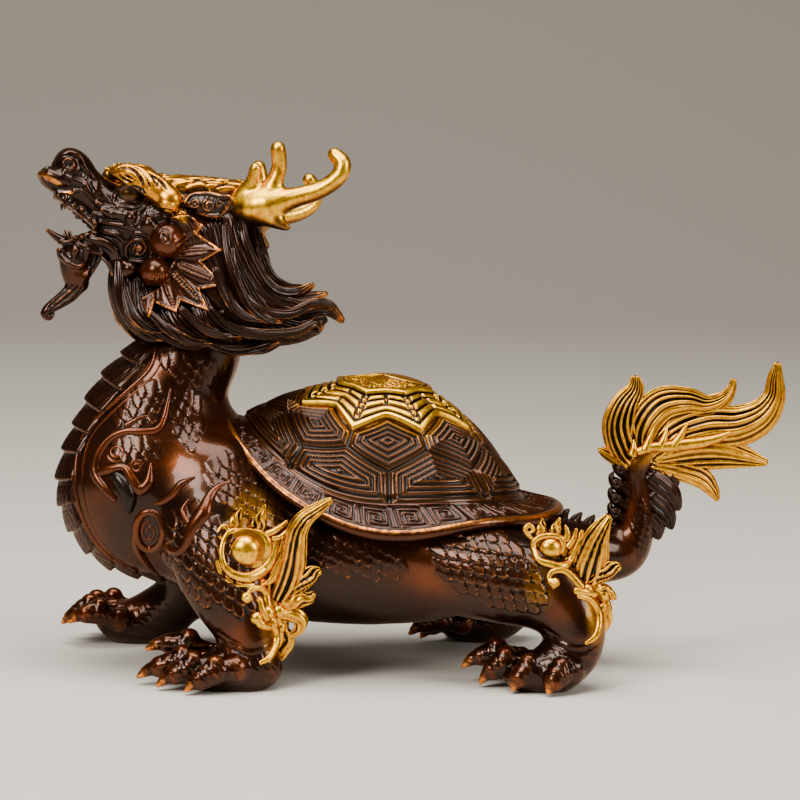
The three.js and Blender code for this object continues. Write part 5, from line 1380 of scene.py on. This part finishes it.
STRANDS = [  # single strands over the locks, and how thick each is along the way
    ([(-52.2, 10, 132.2), (-51.9, 12.4, 125.7), (-49.1, 13.6, 118), (-43.8, 13.4, 111.2), (-37.3, 12, 110.2),
      (-31.6, 11.6, 112.6)],
     [1.0, 1.5, 1.7, 1.7, 1.5, 0.4]),
    ([(-58.1, 13.6, 130.4), (-57.6, 15.8, 120.8), (-54.9, 17.4, 111.2), (-49, 17.4, 105),
      (-40.1, 16.6, 103.7), (-33.1, 15.6, 106.6), (-27.6, 14.6, 106.4), (-23.5, 13.8, 102.1)],
     [1.0, 1.6, 1.8, 1.8, 1.7, 1.6, 1.4, 0.5]),
    ([(-62, 18.2, 117), (-59, 19.2, 109.3), (-54.3, 19.2, 103.6), (-47.7, 18.6, 101.6)],
     [1.0, 1.6, 1.6, 0.4]),
    ([(-63.7, 18.4, 105.6), (-58.1, 19, 100.2), (-49.3, 18.4, 98), (-38.4, 17, 98.5), (-32.2, 15.6, 101),
      (-29.9, 14.8, 99.1)],
     [1.0, 1.7, 1.8, 1.6, 1.3, 0.5]),
    ([(-72.1, 17.6, 105.7), (-65.8, 18.8, 99.9), (-60.1, 18.8, 97.8), (-54.2, 18, 97.4)],
     [1.0, 1.6, 1.5, 0.4]),
    ([(-81.5, 14.8, 105.4), (-76.1, 16.8, 100.1), (-69.6, 17.8, 96.2), (-61.9, 17.4, 95.2)],
     [1.0, 1.6, 1.5, 0.4]),
    ([(-86.9, 10.4, 111.7), (-84.9, 13, 104), (-80.6, 14.8, 100.1), (-75.1, 15.4, 99.3)],
     [1.0, 1.6, 1.4, 0.4]),
    ([(-65.6, 17, 96.1), (-58, 17.4, 93.4), (-49.2, 16.8, 93.8), (-42.6, 16, 95.8)], [1.0, 1.6, 1.4, 0.4]),
    ([(-56, 15.4, 122.7), (-55.5, 17.6, 114.1), (-52.1, 18.4, 106.4), (-47.1, 18.4, 102.4),
      (-42.4, 17.6, 101.2)], [0.9, 1.4, 1.5, 1.4, 0.4]),
]
NAPE = [[-50, 0, 134, 3.6, 3], [-47, 0, 122, 4, 3.4], [-43.6, 0, 113, 3.6, 3], [-35, 0, 108.6, 3, 2.4],
        [-26, 0, 109.6, 0.8, 0.8]]
MANE_CORE = [[-60, 0, 131, 8, 9], [-60, 0, 118, 12, 12], [-57, 0, 107, 12, 12], [-46, 0, 101.5, 5.5, 11],
             [-36, 0, 101.5, 3, 9.5], [-28, 0, 102, 1.2, 7]]
made = []
for side in (NEAR, FAR):
    for n, stations in enumerate(MANE):
        ridges, steps = round(2.5 * max(s[3] for s in stations)), 6 * (len(stations) - 1)
        made.append(combed(on_side(stations, side), (0, side, 0.05), ridges, 0.75, steps, seed=n, keen=0.9))
    for n, (path, radii) in enumerate(STRANDS):
        strand = [[x, side * y, z, r, 1.1 * r] for (x, y, z), r in zip(path, radii)]
        steps = 7 * (len(path) - 1)
        made.append(combed(strand, (0, side, 0.05), 4, 0.7, steps, seed=30 + n, keen=0.9, inner=4))
for n, aside in enumerate((-3.6, 0, 3.6)):
    lock = [[x, aside, z, w, d] for x, y, z, w, d in NAPE]
    made.append(combed(lock, (0.75, 0.15 * aside, 0.65), ridges=7, seed=20 + n))
path = smooth_path(MANE_CORE, 24)
made.append(tube(path[:, :3], path[:, 3], path[:, 4], (0, 1, 0), 32))
points, faces, facing, share = gather(made)
tip = smoothstep(0.8, 1.0, share)
edges = smoothstep(0.95, 1.25, facing) * smoothstep(0.1, 0.5, share)
# Dark patina with painted shade in the grooves and on the hidden sides; copper on the edges and tips
cast("mane", turned(points), faces, {
    "wear_and_highlight": 0.2 * smoothstep(0.85, 1.0, facing) + 0.7 * edges + 0.7 * tip * smoothstep(-0.2, 0.6, facing),
    "hollow": 0.9 * smoothstep(0.75, -0.2, facing),
    "glow": 0.04,
})

# Leg tufts: behind each shoulder and hip a coiled boss with a crown of leaves, a horn of hair sweeping up,
# fans of hair behind it, and a curl and a beaded line down the back of the leg. Cast with the leg and gilded;
# the crests carry a painted pale-gold highlight, and the grooves are dark with patina and painted shade.

# Places in millimetres from the middle of the boss, with the widths of rolls and locks
FORE_TUFT = {
    "boss": 3.7,
    "coil": ([(1.2, -4.4), (3.8, -3.6), (5.6, -1.4), (6.4, 1.2), (5.4, 3.8), (3.0, 5.2), (0.2, 4.6),
              (-2.2, 5.7), (-4.8, 5.1), (-6.4, 2.5), (-6.8, -1.0), (-5.6, -4.4), (-2.6, -6.6), (1.2, -7.2),
              (5, -5.6), (7.6, -2.6), (8.6, 1), (8.8, 4)],
             [0.4, 0.9, 1.2, 1.2, 1.0, 0.8, 0.6, 0.6, 0.6, 0.6, 0.7, 0.8, 1.0, 1.2, 1.3, 1.1, 0.8, 0.4]),
    "rolls": [
        ([(3.6, -10), (7, -9), (9.6, -5.6), (10.7, -1.4), (11.2, 2.6)], [0.4, 0.8, 0.9, 0.8, 0.5]),
        ([(-7.2, 3.4), (-7.6, 5.4), (-6.2, 6.9), (-4.9, 6), (-5.6, 5)], [0.4, 0.6, 0.6, 0.5, 0.3]),
        ([(-7.6, 1.4), (-8.2, -2), (-6.8, -6), (-3.2, -8.8), (1.4, -9.6), (5.6, -8.4)],
         [0.3, 0.5, 0.55, 0.6, 0.6, 0.4]),
        ([(6, 4.6), (8.6, 5.8), (12, 8.4)], [0.7, 0.7, 0.4]),
        ([(7.8, 3.4), (10.2, 4), (12.6, 6.4)], [0.6, 0.6, 0.4]),
        ([(0.6, -13.4), (1.0, -11.2), (3.6, -10.4), (5.8, -12.2), (6.4, -15.4), (7.8, -19)],
         [1.3, 0.6, 0.8, 0.9, 1.0, 1.0]),
        ([(2.2, -12.8), (4, -13.8), (4.8, -16.4), (6.2, -19.6)], [0.5, 0.7, 0.8, 0.9]),
        ([(7.4, -20.6), (9, -23.8), (8.8, -27.4), (6.8, -30.2), (4.2, -31.4)], [0.9, 0.8, 0.8, 0.7, 0.4]),
        ([(3, -18.4), (4.6, -20.6), (7, -21.6)], [0.8, 1.0, 0.8]),
    ],
    "beads": [(3.2, -18.8, 1.9, 0.8), (6.6, -17.8, 2.1, 0.8), (9.8, -17.8, 2.2, 0.8), (7.8, -20.8, 1.9, 0.8),
              (0.3, -12.9, 1.8, 0.8), (11.8, -15, 1.8, 0.8), (10.4, -22.4, 1.6, 0.8)],
    "locks": [
        [[-4.2, -0.4, 5, 1.9, 1.5], [-3, -0.2, 8, 1.9, 1.4], [-1.2, 0, 12, 0.5, 0.5]],
        [[3.4, -0.4, 5.4, 2.4, 1.5], [4.2, -0.2, 8.6, 2.1, 1.4], [5.6, 0, 13, 0.5, 0.5]],
        [[5, -1.2, -12, 3.2, 2.4], [8, -1.2, -19, 4.4, 2.6], [9, -1.6, -25, 3.6, 2.2],
         [7, -2, -31.4, 1.8, 1.4]],
        [[6.4, -1, -14, 3.2, 2], [9, -0.6, -8.6, 3.6, 2.2], [10.8, -0.4, -2.4, 3, 2.2],
         [11.8, 0, 4, 1.8, 1.6]],
        [[9.4, 0, -14.4, 2.6, 2], [12, 0.8, -9.6, 3.6, 2.6], [13.6, 1.4, -4.4, 3.9, 2.8],
         [14.2, 2, 1.2, 3.6, 2.8], [14.8, 2.5, 6, 3.2, 2.6], [17, 2.9, 9.8, 2.7, 2.3],
         [20.6, 3.3, 12.6, 2, 1.8], [24.4, 3.6, 15.2, 0.9, 0.8]],
        [[13, 0.4, -12.6, 2, 2], [16.4, 0.8, -9, 2.8, 2.3], [19.2, 1, -6.6, 2.5, 2],
         [21.4, 1.2, -5.6, 1.2, 1]],
        [[11.6, 0, -16, 2, 2], [15.4, 0.4, -14.4, 2.5, 2.2], [18.2, 0.6, -13.6, 2.2, 1.9],
         [19.8, 0.8, -12.4, 1.0, 0.9]],
        [[10, -0.6, -19, 2.2, 2], [13.6, -0.2, -18.6, 2.6, 2.2], [16.2, 0, -20.4, 2.2, 1.9],
         [15.4, 0, -23.4, 1.6, 1.5], [12.8, -0.4, -25, 0.8, 0.8]],
        [[10.4, -1.4, -22.6, 1.8, 1.6], [12.8, -1.2, -26.4, 2, 1.8], [11.4, -1.6, -30.2, 1.7, 1.6],
         [8.4, -2, -33.6, 0.7, 0.7]],
    ],
}
HIND_TUFT = {
    "boss": 2.7,
    "coil": ([(2, -1.6), (3.2, -0.6), (3.6, 1.6), (2.6, 3.4), (0, 4), (-2.8, 3.6), (-4.8, 2.2), (-4.8, -0.2),
              (-3.4, -2.8), (-0.6, -3.8), (2.6, -4.6), (5.4, -3.6), (7.4, 0.2), (8.6, 3.6)],
             [0.4, 0.6, 0.7, 0.6, 0.6, 0.6, 0.65, 0.65, 0.7, 0.8, 0.9, 0.8, 0.7, 0.4]),
    "rolls": [
        ([(-5.4, 3), (-6.6, 4.4), (-7.4, 6), (-6, 7), (-5, 5.6), (-6, 4.8)], [0.4, 0.5, 0.55, 0.5, 0.4, 0.3]),
        ([(4.4, 2.6), (4.8, 4.8), (4.2, 7)], [0.8, 0.6, 0.25]),
        ([(5, 0.6), (6.6, 3), (7.4, 6)], [0.7, 0.6, 0.3]),
        ([(1.2, -9.4), (-0.8, -7.8), (0.2, -5.9), (3.4, -5.6), (6, -7.4), (8.8, -10.6)],
         [1.2, 0.5, 0.6, 0.7, 0.8, 0.9]),
        ([(7.6, -12.6), (11.2, -14), (13.6, -17.2), (14, -21), (12.6, -24.4), (9.8, -26.2)],
         [0.5, 0.7, 0.75, 0.75, 0.7, 0.4]),
        ([(6.6, -11.2), (9.6, -11.8), (12.6, -12.6)], [0.7, 1.0, 1.0]),
    ],
    "beads": [(10.6, -11.4, 1.8, 0.8), (13.4, -11.2, 2.0, 0.8), (15.6, -13.2, 2.0, 0.8), (1, -8.9, 1.5, 0.8),
              (15.4, -17, 1.5, 0.8)],
    "locks": [
        [[-3, -0.4, 3.4, 1.7, 1.3], [-2.6, -0.2, 6, 1.6, 1.2], [-2.4, 0, 8.8, 0.4, 0.4]],
        [[0.8, -0.4, 3.6, 1.8, 1.3], [1.6, -0.2, 6.2, 1.6, 1.2], [2.6, 0, 9, 0.4, 0.4]],
        [[4, -0.8, -5, 2, 1.8], [7, -0.4, -2.4, 2.4, 1.8], [8.4, 0, 2, 1.7, 1.4], [9, 0.2, 5.4, 0.5, 0.5]],
        [[8, -0.8, -9, 3, 2.2], [11, -1, -14, 4.2, 2.4], [13.2, -1.4, -20, 3.2, 2],
         [11.4, -1.8, -26.4, 1.6, 1.2]],
        [[9.4, 0, -11, 3.4, 2], [11, 0.4, -6.2, 4.9, 2.6], [12, 0.8, -1.8, 5.0, 2.6],
         [12.8, 1.2, 2.4, 4.2, 2.2], [14.2, 1.6, 6, 3, 1.9], [16.4, 1.9, 9.8, 1.3, 1.1]],
        [[11.6, 0.2, -10, 2, 2], [14.4, 0.6, -7.4, 2.7, 2.2], [17.4, 0.9, -5.6, 2.4, 1.9],
         [20, 1, -4.7, 1.2, 1.1]],
        [[13, 0, -11.4, 1.8, 1.8], [16.2, 0.3, -12, 1.9, 1.8], [18.8, 0.4, -14.2, 1.2, 1.1]],
        [[14.6, -1, -13, 1.8, 1.6], [16.6, -1, -17.8, 2, 1.8], [16, -1.4, -22.6, 1.9, 1.7],
         [12.8, -2, -27.2, 0.7, 0.7]],
    ],
}
TUFTS = {
    "near_fore": (NEAR, [-50.3, 35.5, 40.2], 1.0, FORE_TUFT),
    "far_fore": (FAR, [-57, 35, 38.6], 0.9, FORE_TUFT),
    "near_hind": (NEAR, [37.2, 37.4, 41], 1.0, HIND_TUFT),
    "far_hind": (FAR, [27, 37, 34], 0.9, HIND_TUFT),
}


for where, (side, boss, scale, form) in TUFTS.items():
    made = []

    def at(path):
        return [(boss[0] + scale * x, boss[2] + scale * z) for x, z in path]

    for path, radii in [form["coil"], *form["rolls"]]:
        made.append(laid(at(path), [1.55 * scale * r for r in radii], side, 0.0, 8 * len(path),
                         0.9, boss[1] + 0.5, 10))
    disc, ball = (0, -0.6, 2 * form["boss"], 0.12), (0, 0, 1.25 * form["boss"], 0.7)
    for x, z, radius, thick in (disc, ball, *form["beads"]):
        x, z, radius = boss[0] + scale * x, boss[2] + scale * z, scale * radius
        y = max(side * body.outermost([x], [z], side)[0], boss[1] + 0.3) - (0.9 if thick < 0.5 else 0)
        t = np.sin(np.linspace(-0.5, 0.5, 13) * np.pi)
        heart = np.stack([0 * t + x, side * (y + thick * radius * t), 0 * t + z], 1)
        size = radius * np.sqrt(np.maximum(1 - t * t, 0.001))
        points, quads, ends, facing, share = tube(heart, size, size, (0, 0, 1), 24)
        made.append((points, quads, ends, 0 * facing + (0.27 if thick < 0.5 else 0.9), share))
    for n, stations in enumerate(form["locks"]):
        placed = []
        for x, y, z, w, d in stations:
            px, pz = boss[0] + scale * x, boss[2] + scale * z
            placed.append([px, side * (boss[1] + scale * y), pz, scale * w, scale * d])
        ridges = round(1.7 * scale * max(s[3] for s in stations))
        steps = 8 * (len(stations) - 1)
        made.append(combed(placed, (0, side, 0), ridges, 0.95, steps, seed=n + 40, keen=0.95, fine=5))
    points, faces, facing, share = gather(made)
    # Pale gold on the crests is a painted highlight; grooves and hidden sides are dark with patina and
    # painted shade
    cast("tuft_" + where, points, faces, {
        "gilt": 1.0, "wear_and_highlight": 0.9 * smoothstep(0.5, 1.0, facing), "hollow": smoothstep(0.5, -0.2, facing)})

# Tail: a flame of combed hair in one flat sheet with a collar of small teeth, gilded; below it dark fins
# behind the stem, curls in front of it and a row of spikes over the rump.
FLAME = [
    [[67.5, 0, 58.5, 4.2, 2.6], [63.4, 0, 65, 5.6, 3], [61.6, 0, 71.6, 5.8, 2.8], [62.8, 0, 77.4, 4.8, 2.3],
     [65.4, 0, 82.4, 3.0, 1.7], [65.6, 0, 86.2, 1.4, 1.0]],
    [[68.6, 0, 61, 4.4, 2.8], [68.6, 0, 70, 6.2, 3], [73.4, 0, 76.8, 6.4, 2.8], [80.6, 0, 78.4, 5.0, 2.5],
     [86.8, 0, 77.6, 3.6, 2.2], [91.8, 0, 79.6, 2.6, 1.8], [94.2, 0, 83, 1.5, 1.2],
     [94.7, 0, 85.6, 0.8, 0.7]],
    [[71, 0, 62.4, 4.4, 2.8], [78, 0, 68.4, 6.2, 3], [87, 0, 71.2, 7, 2.8], [96, 0, 71.6, 6.4, 2.6],
     [103, 0, 74.6, 5.4, 2.4], [106.8, 0, 80, 3.7, 2], [107.2, 0, 86, 2.5, 1.5], [107.8, 0, 90.4, 1.2, 1]],
    [[72, 0, 62, 3.6, 2.6], [82, 0, 63.6, 5, 2.6], [91, 0, 63.6, 5, 2.3], [98.6, 0, 62.4, 3.4, 1.8],
     [105.2, 0, 60.8, 1.1, 0.9]],
    [[71, 0, 60, 3, 2.4], [78.5, 0, 58.8, 3.4, 2.4], [85.4, 0, 56.6, 3.4, 2], [89.2, 0, 52.6, 2.2, 1.5],
     [90.8, 0, 49.6, 0.9, 0.8]],
    [[67, 0, 58.6, 2.6, 2.2], [61.6, 0, 61.4, 2.6, 1.9], [57.4, 0, 63.4, 1.8, 1.3],
     [55.2, 0, 64.6, 0.8, 0.7]],
]
COLLAR = [
    ([(64.6, 63.4), (65, 65.6), (65, 68)], [1.3, 0.9, 0.25]),
    ([(68.4, 65), (69.4, 67.8), (70.6, 71.4)], [1.5, 1.0, 0.25]),
    ([(72.6, 65.4), (73.8, 68), (74.8, 71.6)], [1.5, 1.0, 0.25]),
    ([(76.6, 65.6), (78.8, 68.8), (81, 73)], [1.7, 1.1, 0.25]),
    ([(66, 64.4), (70, 65.8), (75, 66), (80, 66.6), (85, 67.2), (90, 68.4), (94, 70.2)],
     [1.0, 1.2, 1.4, 1.5, 1.4, 1.1, 0.4]),
]
FINS = [
    [[70.6, 0, 62, 3.2, 2.6], [74.4, 0, 59, 4.0, 2.0], [76.8, 0, 55.4, 3.0, 2], [77.6, 0, 52, 1.0, 0.8]],
    [[70, 0, 57, 3.6, 3.6], [74.4, 0, 53.2, 4.2, 3.0], [77.4, 0, 49.8, 3.2, 2.2], [79.4, 0, 46.8, 1.1, 0.9]],
    [[70.4, 0, 50.6, 3.6, 3.6], [74, 0, 46.8, 4.0, 2.9], [76.2, 0, 43.6, 2.8, 2], [77.4, 0, 41, 0.9, 0.8]],
    [[70.4, 0, 44.8, 3.2, 3.2], [72.6, 0, 41.4, 3, 2.4], [73.4, 0, 38, 1.1, 1]],
]
CURLS = [((61.4, 58.6), 1.3), ((60.4, 54.4), 1.4), ((60.2, 50), 1.4), ((60.2, 45.6), 1.5), ((59, 42), 1.2)]
SPIKES = [[(43.6, 43.4), (46.6, 46.6)], [(47.4, 42), (50.4, 45.6)], [(51.4, 41), (54.2, 44.8)],
          [(55.4, 40.6), (57.4, 44.4)]]
made = []
for n, tongue in enumerate(FLAME):
    ridges = round(1.35 * max(s[3] for s in tongue)) + 1
    made.append(combed(tongue, (0, -1, 0), ridges, 0.85, seed=n + 60, around=True, fine=5, keen=0.95))
for path, radii in COLLAR:
    for side in (NEAR, FAR):
        flat = smooth_path([[x, 0, z] for x, z in path], 8 * (len(path) - 1))
        radius = 1.25 * spread(radii, len(flat))
        flat[:, 1] = side * np.interp(flat[:, 0], [64, 68, 72, 78, 84, 94], [3.6, 4.4, 4.2, 3.2, 2.8, 2.6])
        made.append(tube(flat, radius, radius, (0, side, 0), 10))
points, faces, facing, share = gather(made)
# Pale gold on the crests is a painted highlight; the grooves are dark with patina and painted shade
cast("tail_flame", points, faces, {
    "gilt": 1.0, "wear_and_highlight": 0.9 * smoothstep(0.5, 1.0, facing), "hollow": 0.95 * smoothstep(0.45, -0.4, facing)})
made = []
for n, fin in enumerate(FINS):
    made.append(combed(fin, (0, -1, 0), ridges=6, groove=0.6, seed=80 + n, steps=16, around=True, fine=5))
for (x, z), radius in CURLS:
    for side in (NEAR, FAR):
        path = curl((x, z), (radius, 0.4), 1.6, -20, count=19)
        flat = smooth_path([[a, side * 1.6, b] for a, b in path], 50)
        made.append(tube(flat, 0.5, 0.6, (0, side, 0), 8))
    hook = [[x + 5, 0, z - 3, 2.4, 2.8], [x + 2, 0, z - 1.2, 2.3, 2.3], [x - 0.4, 0, z + 0.2, 1.7, 1.7],
            [x - 1.4, 0, z + 2, 1.0, 1.1], [x - 0.9, 0, z + 3.4, 0.4, 0.5]]
    made.append(combed(hook, (0, -1, 0), 4, 0.45, 18, 90, True, fine=5))
for (x, z), (tx, tz) in SPIKES:
    spike = [[x, 0, z - 1.5, 2.6, 2], [(x + tx) / 2, 0, (z + tz) / 2, 1.6, 1.3], [tx, 0, tz, 0.5, 0.5]]
    made.append(combed(spike, (0, -1, 0), 3, 0.4, 12, 99, True, fine=5))
points, faces, facing, share = gather(made)
# Dark patina with painted shade in the fins' grooves and on their hidden sides; copper on the crests
cast("tail_fins", points, faces, {
    "wear_and_highlight": 0.35 * smoothstep(0.85, 1.0, facing),
    "hollow": 0.9 * smoothstep(0.7, -0.2, facing),
    "glow": 0.05,
})

# Table and light: a pale matt sheet that curves up behind the figure, a wide soft box overhead, one on the
# left in front and a weaker one on the right, so that the lacquer catches broad white reflections.
def softbox(name, place, aim, size, watts):
    lamp = bpy.data.objects.new(name, bpy.data.lights.new(name, "AREA"))
    lamp.data.shape = "RECTANGLE"
    lamp.data.size, lamp.data.size_y = size
    lamp.data.energy = watts
    lamp.location = place
    lamp.rotation_euler = (Vector(aim) - Vector(place)).to_track_quat("-Z", "Y").to_euler()
    bpy.context.scene.collection.objects.link(lamp)


softbox("softbox_top", (-0.05, -0.1, 0.75), (0, 0, 0.05), (0.7, 0.5), 11)
softbox("softbox_left", (-0.6, -0.7, 0.75), (0, 0, 0.07), (0.4, 0.5), 13)
softbox("softbox_right", (0.8, -0.5, 0.5), (0, 0, 0.06), (0.3, 0.5), 6)

world = bpy.data.worlds.new("studio")
bpy.context.scene.world = world
world.use_nodes = True
world.node_tree.nodes["Background"].inputs["Color"].default_value = linear("#d9d4cc")
world.node_tree.nodes["Background"].inputs["Strength"].default_value = 0.12

SWEEP_START, SWEEP_RADIUS = 0.9, 0.9
bend = np.linspace(0, np.pi / 2, 48)
profile = [(-1.2, 0.0), *zip(SWEEP_START + SWEEP_RADIUS * np.sin(bend), SWEEP_RADIUS * (1 - np.cos(bend))),
           (SWEEP_START + SWEEP_RADIUS, 1.8)]
sheet_points = [(side * 2.0, y, z) for side in (-1, 1) for y, z in profile]
count = len(profile)
sheet_faces = [(n, count + n, count + n + 1, n + 1) for n in range(count - 1)]
mesh = bpy.data.meshes.new("table_sheet")
mesh.from_pydata(sheet_points, [], sheet_faces)
mesh.shade_smooth()
table_sheet = bpy.data.objects.new("table_sheet", mesh)
bpy.context.scene.collection.objects.link(table_sheet)
paper = bpy.data.materials.new("matt_paper_sheet")
paper.use_nodes = True
shader = paper.node_tree.nodes["Principled BSDF"]
shader.inputs["Base Color"].default_value = linear("#cfc6b8")
shader.inputs["Roughness"].default_value = 0.6
mesh.materials.append(paper)
